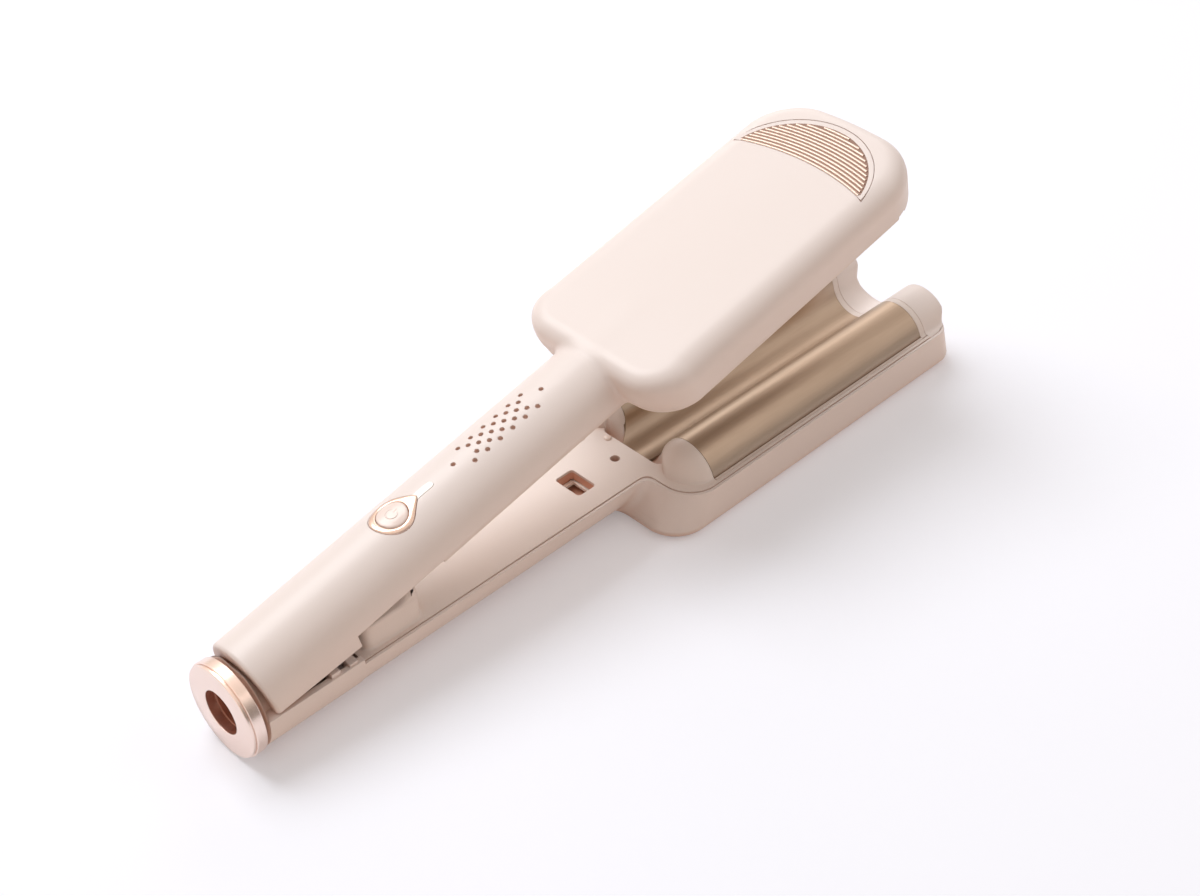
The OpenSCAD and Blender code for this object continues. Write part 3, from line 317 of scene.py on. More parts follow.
def cornered(a, b):
    return np.hypot(np.maximum(a, 0), np.maximum(b, 0)) + np.minimum(np.maximum(a, b), 0)


def roundedMax(a, b, radius):
    return cornered(a + radius, b + radius) - radius


def softMin(a, b, reach):
    near = np.maximum(reach - np.abs(a - b), 0) / reach
    return np.minimum(a, b) - near * near * reach / 4


def padDistance(x, y, start, end, halfWidth, tailCorner, tipCorner):
    corner = np.where(x < (start + end) / 2, tailCorner, tipCorner)
    along = np.abs(x - (start + end) / 2) - (end - start) / 2 + corner
    across = np.abs(y) - halfWidth + corner
    return cornered(along, across) - corner


def crowded(edge, reach, count):
    # places that crowd towards an edge, where a rounding starts
    return edge + reach * (1 - np.cos(np.linspace(0.03, np.pi / 2, count)))


def spread(*groups):
    return np.unique(np.round(np.concatenate([np.atleast_1d(group) for group in groups]), 4))


def fullTurn(count):
    return np.linspace(-np.pi / 2, 3 * np.pi / 2, count)[:-1]


def bisect(inside, low, high):
    for _ in range(30):
        middle = (low + high) / 2
        within = inside(middle)
        low, high = np.where(within, middle, low), np.where(within, high, middle)
    return low


def loft(shape, stations, angles, centre):
    # one ring at each station along the arm, where rays from a line inside the solid leave it
    x = np.asarray(stations, float)[:, None] + 0 * angles[None, :]
    c, s = np.cos(angles)[None, :], np.sin(angles)[None, :]
    reach = bisect(lambda r: shape(x, r * c, centre + r * s) < 0, 0 * x, 0 * x + 95)
    points = np.stack([x, reach * c, centre + reach * s], axis=-1).reshape(-1, 3)
    first, last = ends(len(stations), len(angles))
    return meshObject("loft", points, bands(len(stations), len(angles)) + [first[::-1], last])


def heightField(shape, xs, ys, bottom, top=60, down=False):
    # a solid between a flat bottom and the surface above it, or hanging below a flat top
    sign = -1 if down else 1
    x, y = np.meshgrid(xs, ys, indexing="ij")
    z = bisect(lambda level: shape(x, y, sign * level) < 0, 0 * x + sign * bottom, 0 * x + top)
    n, m = len(xs), len(ys)
    points = np.stack([x, y, sign * z], axis=-1).reshape(-1, 3)
    grid = np.arange(n * m).reshape(n, m)
    faces = np.stack([grid[:-1, :-1], grid[1:, :-1], grid[1:, 1:], grid[:-1, 1:]], axis=-1)
    faces = faces.reshape(-1, 4).tolist()
    rim = np.concatenate([grid[:, 0], grid[-1, 1:], grid[-2::-1, -1], grid[0, -2:0:-1]])
    base = points[rim].copy()
    base[:, 2] = bottom
    count = len(rim)
    low = n * m + np.arange(count)
    faces += [[rim[i], low[i], low[(i + 1) % count], rim[(i + 1) % count]] for i in range(count)]
    faces.append(low[::-1].tolist())
    piece = meshObject("field", np.concatenate([points, base]), faces)
    return tidyMesh(piece) if down else piece


def planOutline(shape, stations, level, inset):
    x = np.asarray(stations, float)
    y = bisect(lambda side: shape(x, side, 0 * x + level) + inset < 0, 0 * x, 0 * x + 60)
    return [(a, -b) for a, b in zip(x, y)] + [(a, b) for a, b in zip(x[::-1], y[::-1])]


# the barrels' and the valley's section, shared by both arms

section = {"barrelY": 21.0, "barrelZ": 13.6, "barrelR": 14.7, "innerZ": 18.3, "innerR": 10.0,
           "valleyC": 23.679, "valleyR": 11.679, "domeStart": 198.8, "domeLength": 11.4,
           "innerShort": 5.0, "domeY": 21.5, "domeZ": 14.2}
swing = math.atan2(section["valleyC"] - section["innerZ"], section["barrelY"])


def plateDistance(y, z, grown=0.0):
    # how far a point is above the plates' curve, which has two humps and the valley between
    side = np.abs(y)
    outer = np.hypot(side - section["barrelY"], z - section["barrelZ"]) - section["barrelR"]
    inner = np.hypot(side - section["barrelY"], z - section["innerZ"]) - section["innerR"]
    valley = section["valleyR"] - np.hypot(side, z - section["valleyC"])
    overLine = (z - section["innerZ"]) * math.cos(swing) + (side - section["barrelY"]) * math.sin(swing) > 0
    return np.where(side > section["barrelY"], outer, np.where(overLine, inner, valley)) - grown


def domeDistance(x, y, z, grown=0.0):
    # the humps' rounded tail ends: the section shrinks towards a point inside each hump
    across, up = np.abs(y) - section["domeY"], z - section["domeZ"]
    inward = np.clip(-across / np.hypot(across, up).clip(0.1), 0, 1)
    length = section["domeLength"] - section["innerShort"] * inward * inward
    turn = np.clip((section["domeStart"] - x) / (length + grown), 0, 0.9999)
    scale = np.sqrt(1 - turn * turn)
    side = np.maximum(section["domeY"] + across / scale, 0)
    return np.maximum(plateDistance(side, section["domeZ"] + up / scale, grown) * scale, 0 * x - 60)


def sectionPoints(grown, endZ):
    # the curve itself as points from one outer edge to the other
    def arc(cy, cz, radius, start, end, count):
        turns = np.linspace(start, end, count)
        return [(cy + radius * math.cos(a), cz + radius * math.sin(a)) for a in turns]
    s = section
    end = math.asin((endZ - s["barrelZ"]) / (s["barrelR"] + grown))
    half = arc(0, s["valleyC"], s["valleyR"] - grown, -np.pi / 2, -swing, 22)
    half += arc(s["barrelY"], s["innerZ"], s["innerR"] + grown, np.pi - swing, np.pi / 2, 22)[1:]
    half += arc(s["barrelY"], s["barrelZ"], s["barrelR"] + grown, np.pi / 2, end, 26)[1:]
    return [(-y, z) for y, z in half[:0:-1]] + half


# lower casing: tail collar, half-round handle and the head's tray in one shell

lowerCasing = {
    "collarRadius": 17.2, "collarAxis": 18.0, "collarEnd": 47.0, "collarTop": 20.7, "start": 5.5,
    "handleRadius": 16.5, "handleAxis": 17.5, "wall": 2.2, "edge": 18.0, "coverSeat": 17.2, "rimBand": 1.1,
    "headStart": 175.0, "headEnd": 346.0, "halfWidth": 39.5, "foot": 4.0, "tailLean": 8.0, "tipLean": 4.0,
    "tailCorner": 15.0, "tipCorner": 8.0, "blend": 5.0, "seam": 0.25, "ringBore": 11.45,
    "slot": (151.5, 168.5, 4.2), "screwX": 336.0, "screwY": 26.0, "mouthAxis": 23.68, "mouthRadius": 13.68,
    "cheekY": 14.2, "cheeks": ((33.6, 37.2, 22.4), (41.2, 44.6, 21.7)),
}


def lowerBody(x, y, z):
    c = lowerCasing
    lean = np.clip((z - c["foot"]) / 14.2, 0, 1.2)
    pad = padDistance(x, y, c["headStart"] + c["tailLean"] * lean, c["headEnd"] - c["tipLean"] * lean,
                      c["halfWidth"] - 0.5 * lean, c["tailCorner"] - lean, c["tipCorner"])
    head = roundedMax(pad, -z, c["foot"])
    handle = np.where(z > c["handleAxis"], np.abs(y), np.hypot(y, z - c["handleAxis"])) - c["handleRadius"]
    handle = np.maximum(np.maximum(handle, 30 - x), x - 200)
    collar = roundedMax(np.hypot(y, z - c["collarAxis"]) - c["collarRadius"], x - c["collarEnd"], 0.5)
    arm = np.maximum(softMin(handle, head, c["blend"]), -z)
    return np.minimum(arm, np.maximum(collar, c["start"] - x))


def lowerRim(inset):
    stations = spread([47.5, 60, 80, 100, 120, 140, 160, 168, 172, 175, 177], np.arange(178, 201, 0.6),
                      crowded(183 + inset, 14, 20), [210, 240, 270, 300, 320],
                      crowded(342 - inset - 0.001, -9, 22))
    return planOutline(lowerBody, stations, 18.2, inset)


nearRim = np.linspace(-0.15, 0.06, 22)
rays = spread(fullTurn(220), nearRim, np.pi - nearRim)
places = spread([5.5, 7.3, 12, 20, 30, 40, 46], crowded(46.999, -0.6, 6),
                [47.01, 55, 75, 100, 125, 150, 162, 168], np.arange(170, 200, 0.5), crowded(175.001, 3, 10),
                np.arange(200, 330, 10), np.arange(330, 342), crowded(345.999, -4.5, 26))
outer = loft(lambda x, y, z: np.maximum(lowerBody(x, y, z), z - 34), places, rays, 4.4)
places = spread([7.3, 20, 30, 44.7, 44.9, 60, 100, 150], np.arange(170, 200, 1.5), [220, 260, 300, 330],
                crowded(343.7, -6, 10))
inner = loft(lambda x, y, z: np.maximum(lowerBody(x, y, z) + lowerCasing["wall"], z - 33),
             places, fullTurn(121), 4.4)
c = lowerCasing
above = prism([(7.3, c["collarTop"]), (c["collarEnd"], c["collarTop"]), (c["collarEnd"], c["edge"]),
               (350, c["edge"]), (350, 50), (7.3, 50)], -50, 50, axis="Y")
# also cut: the tail's bore, a gap in the collar, the cover's seat, the slot, screw holes and the mouth
shell = cut(outer, above, inner,
            rod(c["ringBore"], 4, 9, (0, 0, c["collarAxis"])),
            block(7.3, 50, -4, 4, 18, 45),
            prism(lowerRim(c["rimBand"]), c["coverSeat"], 40),
            block(*c["slot"][:2], -c["slot"][2], c["slot"][2], -1, 4.3),
            *(rod(2.1, -1, 6, (c["screwX"], side * c["screwY"], 0), "Z", 32) for side in (1, -1)),
            rod(c["mouthRadius"], 329, 348, (0, 0, c["mouthAxis"]), steps=128))
bosses = [lathe([(0.3, 2.1), (4, 2.1), (4, 1.15), (13.9, 1.15), (13.9, 3), (0.3, 3)],
                (c["screwX"], side * c["screwY"], 0), "Z", 32, closed=True)
          for side in (1, -1)]
cheeks = [block(x0, x1, side * c["cheekY"] - 2.0, side * c["cheekY"] + 2.0, 17.5, top)
          for side in (1, -1) for x0, x1, top in c["cheeks"]]
done(joined(shell, *bosses, *cheeks), "lowerCasing", "lower_arm", "casing", "lower_shell")


# lower inner cover: flange, dome ends of the barrels, wire tunnel, lock pocket

innerCover = {"top": 18.4, "valleyStart": 190.8, "seam": 199.8, "tunnelStart": 50.5, "tunnelEnd": 76.0,
              "tunnelHalf": 13.0, "pocket": (157.0, 166.0), "pocketHalf": 6.5, "tongueStep": 0.22,
              "seatHalf": 36.35, "screw": (182.0, -0.6), "bumper": (188.6, 9.8), "pocketWall": 1.2,
              "pocketFoot": 9.2, "wireHole": (72.5, 2.6)}


def coverTop(x, y, z):
    # flange and domes; the valley's tail end is a rounded opening between them
    dome = np.where(x > 199, plateDistance(y, z), domeDistance(x, y, z))
    opening = padDistance(x, y, innerCover["valleyStart"], 215, 14.95, 2.6, 2.6)
    rim = np.clip(opening / 0.7 + 0.6, 0, 1)
    ground = 11 + (innerCover["top"] - 11) * rim * rim * (3 - 2 * rim)
    solid = softMin(z - ground, dome, 0.7)
    # the metal's tongue lies a little proud of the plastic under it
    under = plateDistance(y, z) + innerCover["tongueStep"] * np.clip(13 - np.abs(y), 0, 1)
    return np.where((opening < -0.2) & (np.abs(y) < 13), np.maximum(solid, under), solid)


def roundedBox(x0, x1, half, radius):
    outline, side = [], half - radius
    for cx, cy, start in ((x1 - radius, side, 0), (x0 + radius, side, 90),
                          (x0 + radius, -side, 180), (x1 - radius, -side, 270)):
        turns = [math.radians(start + a) for a in (0, 15, 30, 45, 60, 75, 90)]
        outline += [(cx + radius * math.cos(a), cy + radius * math.sin(a)) for a in turns]
    return outline


acrossHalf = spread(np.arange(0, 8, 0.8), np.arange(8, 12, 0.35), np.arange(12, 17, 0.2),
                    np.arange(17, 31, 0.35), np.arange(31, 36.6, 0.25), [38, 41])
acrossArm = spread(-acrossHalf, acrossHalf)
places = spread([46, 60, 80, 100, 120, 140, 150, 170, 180], np.arange(184, 187, 0.3),
                np.arange(187, 189.6, 0.08), np.arange(189.6, 192.4, 0.14), np.arange(192.4, 199.8, 0.3),
                [199.8, 215, 240, 270, 300, 329])
cover = heightField(coverTop, places, acrossArm, 10.4)
c = innerCover
cut(cover, prism(lowerRim(lowerCasing["rimBand"] + lowerCasing["seam"]), 5, 60), operation="INTERSECT")
pocket = roundedBox(*c["pocket"], c["pocketHalf"], 1.5)
cut(cover, block(40, 184, -50, 50, 5, 17.2), block(183, 330, 30, 50, 5, 17.2),
    block(183, 330, -50, -30, 5, 17.2), block(c["seam"], 331, -c["seatHalf"], c["seatHalf"], 5, 60),
    prism(pocket, 5, 60),
    rod(1.9, 15.7, 30, (*c["screw"], 0), "Z", 40), rod(1.2, 17.3, 30, (*c["bumper"], 0), "Z", 24))


def stack(slices):
    # each slice has its level, start, end, half width and corner radius
    points = []
    for level, x0, x1, half, corner in slices:
        points += [(x, y, level) for x, y in roundedBox(x0, x1, half, corner)]
    n = len(points) // len(slices)
    return tidyMesh(meshObject("stack", points, bands(len(slices), n) + ends(len(slices), n)))


# wire tunnel: a ramp with a post that reaches up into the other handle
x0, x1, half = c["tunnelStart"], c["tunnelEnd"], c["tunnelHalf"]
# level, how far the ends and the sides draw in, corner
ramp = [(17.6, -0.9, -0.9, 4.5), (18.4, -0.9, -0.9, 4.5), (18.55, -0.45, -0.45, 4.2),
        (18.9, -0.15, -0.15, 4), (19.5, 0, 0, 3.8), (27.4, 0, 0.3, 3.8), (28.0, 0.15, 0.5, 3.7),
        (28.35, 0.5, 0.85, 3.4), (28.5, 1.0, 1.4, 3)]
ramp = stack([(z, x0 + inward, x1 - inward, half - sides, corner)
              for z, inward, sides, corner in ramp])
# level, how far the start, the end and the sides draw in, corner
post = [(z, start, (z - 27) * 0.04, sides, 3.6) for z, start, sides in
        ((27.0, 11, 0.3), (28.3, 14, 0.6), (28.8, 16, 0.75), (29.6, 17.8, 0.95), (30.8, 19.2, 1.3),
         (32.4, 20, 1.8), (33.6, 20.3, 2.3))]
post += [(34.5, 20.6, 0.6, 2.8, 3.2), (35.1, 21.2, 1.2, 3.5, 2.5), (35.5, 22.3, 2.3, 4.7, 1.4)]
post = stack([(z, x0 + start, x1 - end, half - sides, corner)
              for z, start, end, sides, corner in post])
cut(ramp, block(x0 + 1.5, x0 + 15.5, -half + 1.5, half - 1.5, 10, 26.5))
cut(post, rod(c["wireHole"][1], 30, 40, (c["wireHole"][0], 0, 0), "Z", 40))
# walls of the lock pocket and the boss under the screw
wall, foot, side = c["pocketWall"], c["pocketFoot"], c["pocketHalf"] + c["pocketWall"]
tub = cut(block(c["pocket"][0] - wall, c["pocket"][1] + wall, -side, side, foot, 17.25),
          prism(pocket, foot + 1, 60), block(150, 160.3, -9, 9, 5, 14.0),
          block(165, 170, -9, 9, foot + 1, 14.0))
boss = lathe([(10.4, 1.15), (12.0, 1.15), (12.0, 1.9), (17.3, 1.9), (17.3, 3.5), (10.4, 3.5)],
             (*c["screw"], 0), "Z", 40, closed=True)
# the pocket's tub takes the finish with painted shade in place of the inner plastic's own colour
done(tub, "lockPocket", "lower_arm", "inner_plastic", finish="pocket_painted_shade")
done(joined(cover, ramp, post, boss), "lowerInnerCover", "lower_arm", "inner_plastic", "lower_inner_cover")

bumper = [(0.15 + 0.95 * math.sin(a), 1.5 * math.cos(a)) for a in np.linspace(0, np.pi / 2, 10)]
bumper = lathe([(-1.0, 0), (-1.0, 1.12), (0.15, 1.12)] + bumper, (*c["bumper"], c["top"]), "Z", 40)
done(bumper, "stopBumper", "lower_arm", "bumper_rubber", "stop_bumper")


# tip cap and the plastic band before it

tipCap = {"start": 329.15, "end": 345.8, "foot": 342.2, "round": 1.6, "corner": 6.0, "bore": 13.6}


def barrelTop(x, y, z):
    ground = np.where(np.abs(y) < 17.5, 60.0, z - innerCover["top"])
    return softMin(ground, plateDistance(y, z), 0.9)


def tipTop(x, y, z):
    # the end leans outwards again above the rim, up to the barrels' top
    rise = np.clip((z - innerCover["top"]) / 7.5, 0, 1)
    reach = tipCap["foot"] + (tipCap["end"] - tipCap["foot"]) * rise * rise * (3 - 2 * rise)
    end = padDistance(x, y, 175, reach, 38.2, 8, tipCap["corner"])
    return roundedMax(barrelTop(x, y, z), end, tipCap["round"])


places = spread(tipCap["start"], np.arange(330, 338), np.arange(338, 341, 0.5), np.arange(341, 346.6, 0.2))
cap = heightField(tipTop, places, acrossArm, 9.0)
c = lowerCasing
bores = [rod(tipCap["bore"], 300, 360, (0, 0, c["mouthAxis"]), steps=128) for _ in range(2)]
ring = cut(block(320, 350, -45, 45, 0, c["edge"] + 0.05), prism(lowerRim(c["rimBand"] + c["seam"]), -5, 30),
           bores[0])
under = cut(block(320, 350, -45, 45, 0, c["coverSeat"]), bores[1])
done(cut(cap, ring, under), "tipCap", "lower_arm", "casing", "tip_cap")

plateBand = {"start": 326.1, "end": 329.0, "railStart": 200.1, "railY": 35.7, "railHalf": 0.55}
c = plateBand
band = heightField(barrelTop, [c["start"], c["end"]], acrossArm[np.abs(acrossArm) < 36.2], 9.0)
rails = [block(c["railStart"], c["start"] - 0.05, y - c["railHalf"], y + c["railHalf"], 10, 18.35)
         for y in (-c["railY"], c["railY"])]
done(joined(band, *rails), "plateBand", "lower_arm", "inner_plastic", "lower_plate_carrier")
print("lower arm's plastic done")


# geometry nodes for the plates, vents, ribs and screws

def nodeGroup(name, sizes):
    group = bpy.data.node_groups.new(name, "GeometryNodeTree")
    group.interface.new_socket("Geometry", in_out="INPUT", socket_type="NodeSocketGeometry")
    for label, value in sizes.items():
        kind = "NodeSocketInt" if isinstance(value, int) else "NodeSocketFloat"
        group.interface.new_socket(label, in_out="INPUT", socket_type=kind)
    group.interface.new_socket("Geometry", in_out="OUTPUT", socket_type="NodeSocketGeometry")
    tree = Tree(group)
    given = group.nodes.new("NodeGroupInput")
    return tree, {socket.name: Value(tree, socket) for socket in given.outputs if socket.name}


def grow(piece, tree, result, material, sizes):
    # ends the tree, sets its inputs and leaves a plain mesh
    solid = tree.add("GeometryNodeRealizeInstances", {0: result})
    solid = tree.add("GeometryNodeSetMaterial", {0: solid, "Material": material})
    tree.add("NodeGroupOutput", {0: solid})
    modifier = piece.modifiers.new("grow", "NODES")
    modifier.node_group = tree.tree
    for item in tree.tree.interface.items_tree:
        if item.in_out == "INPUT" and item.name in sizes:
            modifier[item.identifier] = sizes[item.name]
    return applied(piece)


def sweep(name, points, edges, resolution, material, sizes):
    # a round line along the edges, lifted over them
    lines = meshObject(name, points, [], edges)
    tree, given = nodeGroup(name, sizes)
    path = tree.add("GeometryNodeMeshToCurve", {0: given["Geometry"]})
    profile = tree.add("GeometryNodeCurvePrimitiveCircle", {
        "Resolution": resolution, "Radius": given["Radius"]})
    swept = tree.add("GeometryNodeCurveToMesh", {"Curve": path, "Profile Curve": profile, "Fill Caps": True})
    offset = tree.add("ShaderNodeCombineXYZ", {2: given["Lift"]})
    lifted = tree.add("GeometryNodeSetPosition", {"Geometry": swept, "Offset": offset})
    return tidyMesh(grow(lines, tree, lifted, materials[material], sizes))


def heatingPlate(name, outline, start, sizes):
    # the section as one face, pulled along the arm; the valley's strip reaches back by Tongue
    face = meshObject(name, [(start, y, z) for y, z in outline], [list(range(len(outline)))])
    tree, given = nodeGroup(name, sizes)
    offset = tree.add("ShaderNodeCombineXYZ", {0: given["Length"]})
    pulled = tree.add("GeometryNodeExtrudeMesh", {
        "Mesh": given["Geometry"], "Offset": offset, "Offset Scale": 1.0, "Individual": False}, mode="FACES")
    near = tree.add("GeometryNodeFlipFaces", {0: given["Geometry"]})
    closed = tree.add("GeometryNodeMergeByDistance", {
        "Geometry": tree.add("GeometryNodeJoinGeometry", {0: [near, pulled]}), "Distance": 0.0001})
    position = tree.add("GeometryNodeInputPosition")
    x, y = (tree.add("ShaderNodeSeparateXYZ", {0: position}, output=i) for i in (0, 1))
    back = tree.smooth(y.math("ABSOLUTE", y, 0), 4.0, 12.0, 1.0, 0.0)
    atStart = x.math("LESS_THAN", x, start + 0.01)
    shift = tree.add("ShaderNodeCombineXYZ", {0: back * atStart * given["Tongue"] * -1.0})
    moved = tree.add("GeometryNodeSetPosition", {"Geometry": closed, "Offset": shift})
    return tidyMesh(grow(face, tree, moved, materials["plate_metal"], sizes))


lowerPlate = {"Length": 126.0, "Tongue": 8.8}
sheet = sectionPoints(0, 18.0) + sectionPoints(-1.5, 18.0)[::-1]
done(heatingPlate("lowerPlate", sheet, 200.0, lowerPlate), "lowerHeatingPlate", "lower_arm", "plate_metal",
     "lower_heating_plate")

upperPlate = {"Length": 108.0, "Tongue": 0.0}
sheet = sectionPoints(3.1, 25.5) + sectionPoints(1.6, 25.5)[::-1]
done(heatingPlate("upperPlate", sheet, 203.0, upperPlate), "upperHeatingPlate", "upper_arm", "plate_metal",
     "upper_heating_plate")


def screwSet(name, places, shank, flip, body, *nodes):
    # a cross-recessed screw head and its shank on each point, turned over where the head faces down
    head = lathe([(-shank, 0), (-shank, 1.05), (0, 1.05), (0, 1.55), (0.35, 1.85), (1.15, 1.85), (1.5, 1.45),
                  (1.6, 0)], (0, 0, 0), "Z", 40)
    cut(head, block(-1.25, 1.25, -0.24, 0.24, 0.7, 3), block(-0.24, 0.24, -1.25, 1.25, 0.7, 3))
    points, sizes = meshObject(name, places, []), {"Flip": flip}
    tree, given = nodeGroup(name, sizes)
    one = tree.add("GeometryNodeObjectInfo", {"Object": head}, output=4)
    number = tree.add("GeometryNodeInputIndex")
    turn = tree.add("ShaderNodeCombineXYZ", {0: given["Flip"] * math.pi, 2: number * 0.7 + 0.3})
    placed = tree.add("GeometryNodeInstanceOnPoints", {
        "Points": given["Geometry"], "Instance": one, "Rotation": turn})
    grow(points, tree, placed, materials["screw_steel"], sizes)
    bpy.data.objects.remove(head)
    done(points, name, body, "screw_steel", *nodes)


screwPlaces = [(lowerCasing["screwX"], side * lowerCasing["screwY"], 4.0) for side in (1, -1)]
screwSet("tipScrews", screwPlaces, 16.0, 1.0, "lower_arm")
screwSet("coverScrew", [(*innerCover["screw"], 12.05)], 8.0, 0.0, "lower_arm", "cover_screws")
print("plates and screws done")


# tail ring and the turning cord sleeve inside it, as places along the arm and radii

tailAxis = (0, 0, lowerCasing["collarAxis"])
ringEdge = [(0.15, 8.4), (0.0, 8.6), (0.0, 16.9), (0.1, 17.2), (0.35, 17.4), (1.0, 17.45), (1.05, 17.2),
            (1.3, 17.2), (1.35, 17.75), (1.6, 18.0), (5.1, 18.0), (5.4, 17.85), (5.5, 17.5), (5.5, 11.4),
            (7.3, 11.4), (7.3, 9.27), (3.5, 9.27), (3.5, 8.4)]
done(lathe(ringEdge, tailAxis, steps=160, closed=True), "tailRing", "lower_arm", "rose_metal", "tail_ring",
     sharp=24)

sleeveEdge = [(17.5, 2.2), (17.5, 9.2), (9.0, 9.2), (9.0, 10.8), (7.5, 10.8), (7.5, 9.2), (3.75, 9.2),
              (3.6, 9.05), (3.6, 8.25), (3.85, 8.0), (6.0, 8.0), (6.1, 7.7), (12.5, 7.6), (12.6, 2.2)]
done(lathe(sleeveEdge, tailAxis, steps=128, closed=True), "cordSleeve", "cord_sleeve",
     "sleeve_brown", "swivel_sleeve", sharp=24)
print("tail done")


# upper casing: half-oval handle running into the head's rounded lid

upperCasing = {
    "rim": 27.7, "halfWidth": 16.5, "height": 15.6, "tail": 11.9, "tailRound": 1.3, "wall": 2.2,
    "headStart": 174.5, "tailLean": 3.0, "headEnd": 328.8, "headHalf": 37.3, "top": 44.3,
    "tailCorner": 17.0, "tipCorner": 22.0, "bow": 0.003, "tailEdge": 5.5, "sideEdge": 9.2, "blend": 2.6,
    "mouthHalf": 12.9, "mouthHeight": 9.8, "barrelGap": 1.6,
}


def upperBody(x, y, z):
    c = upperCasing
    up = z - c["rim"]
    oval = np.where(up > 0, (np.hypot(y / c["halfWidth"], up / c["height"]) - 1) * c["height"],
                    np.abs(y) - c["halfWidth"])
    handle = np.maximum(roundedMax(oval, c["tail"] - x, c["tailRound"]), x - 200)
    bowed = x + np.where(x > 250, c["bow"] * y * y, 0)
    edge = c["tailEdge"] + (c["sideEdge"] - c["tailEdge"]) * np.clip((x - 176) / 18, 0, 1)
    lean = np.clip((38 - z) / 10.3, 0, 1)
    plan = padDistance(bowed, y, c["headStart"] + c["tailLean"] * lean * lean, c["headEnd"], c["headHalf"],
                       c["tailCorner"], c["tipCorner"])
    head = roundedMax(plan, z - c["top"], edge)
    return softMin(handle, head, c["blend"])


def handleTop(y):
    c = upperCasing
    return c["rim"] + c["height"] * np.sqrt(np.maximum(1 - (y / c["halfWidth"]) ** 2, 0))


def upperRim(inset):
    stations = spread([87.2, 100, 120, 140, 160, 166, 168, 170, 172], np.arange(173, 177.4, 0.3),
                      crowded(177.45 + inset, 16, 24), np.arange(196, 305, 8),
                      crowded(upperCasing["headEnd"] - inset - 0.001, -24, 34))
    return planOutline(upperBody, stations, 27.8, inset)


# outline of the grip's recess: a round end cut by the bow of the ribs
grip = {"start": 296.6, "length": 23.0, "radius": 31.5, "bow": 100.0, "ribs": 12, "ribRadius": 0.68,
        "base": 43.9, "gap": 0.2, "margin": 1.3, "back": 1.1}


def gripCentres(back):
    return grip["start"] + grip["length"] - grip["radius"] - back, grip["start"] - grip["bow"]


def gripOutline(grown, back=0):
    centre, bowCentre = gripCentres(back)
    reach, bowReach = grip["radius"] + grown, grip["bow"] - grown
    gap = centre - bowCentre
    crossX = (bowReach ** 2 - reach ** 2 + gap ** 2) / (2 * gap)
    crossY = math.sqrt(bowReach ** 2 - crossX ** 2)
    wide = math.atan2(crossY, crossX - gap)
    narrow = math.atan2(crossY, crossX)
    outline = [(centre + reach * math.cos(a), reach * math.sin(a)) for a in np.linspace(-wide, wide, 72)]
    return outline + [(bowCentre + bowReach * math.cos(a), bowReach * math.sin(a))
                      for a in np.linspace(narrow, -narrow, 40)[1:-1]]


# vents: two or three in each row, and a single one at either end
vents = {"Radius": 0.9, "Depth": 30.0}
ventGrid = {"start": 111.2, "along": 3.05, "across": 2.2}
lanes = [[0], [], [-2, 2]] + [[-1, 1], [-2, 0, 2]] * 4 + [[-1, 1], [-2, 2], [], [0]]
ventPlaces = [(ventGrid["start"] + row * ventGrid["along"], ventGrid["across"] * lane, 45)
              for row, rowLanes in enumerate(lanes) for lane in rowLanes]
points = meshObject("vents", ventPlaces, [])
tree, given = nodeGroup("vents", vents)
drill = tree.add("GeometryNodeMeshCylinder", {
    "Vertices": 20, "Radius": given["Radius"], "Depth": given["Depth"]})
placed = tree.add("GeometryNodeInstanceOnPoints", {"Points": given["Geometry"], "Instance": drill})
drills = grow(points, tree, placed, materials["casing"], vents)

# ring round the button with its neck, and the light's stem
button = {"x": 83.2, "y": 0.7, "radius": 5.6, "ringRadius": 7.9, "tipX": 9.2, "tipRadius": 1.55,
          "stemStart": 90.4, "stemEnd": 101.3, "stemHalf": 1.4, "tail": 0.5, "signRadius": 2.1}


def ringReach(turn, grown):
    big, small = button["ringRadius"] + grown, button["tipRadius"] + grown
    aim = math.atan2(-button["y"], button["tipX"])
    side = abs((turn - aim + math.pi) % (2 * math.pi) - math.pi)
    away = math.hypot(button["tipX"], button["y"])
    lean = math.acos((big - small) / away)
    if side > lean:
        return big + button["tail"] * max(0, math.cos(turn - 2.7)) ** 6
    offset = away * math.sin(side)
    if offset < small * math.sin(lean):
        across = away * math.cos(side) + math.sqrt(max(small ** 2 - offset ** 2, 0))
        return min(big / math.cos(lean - side), across)
    return big / math.cos(lean - side)


def ringOutline(grown):
    outline = []
    for a in np.linspace(0, 2 * math.pi, 121)[:-1]:
        reach = ringReach(a, grown)
        outline.append((button["x"] + reach * math.cos(a), button["y"] + reach * math.sin(a)))
    return outline


def stemOutline(grown):
    half, end = button["stemHalf"] + grown, button["stemEnd"] + grown
    turns = np.linspace(-np.pi / 2, np.pi / 2, 13)
    tip = [(end - half + half * math.cos(a), half * math.sin(a)) for a in turns]
    return [(button["stemStart"], -half)] + tip + [(button["stemStart"], half)]


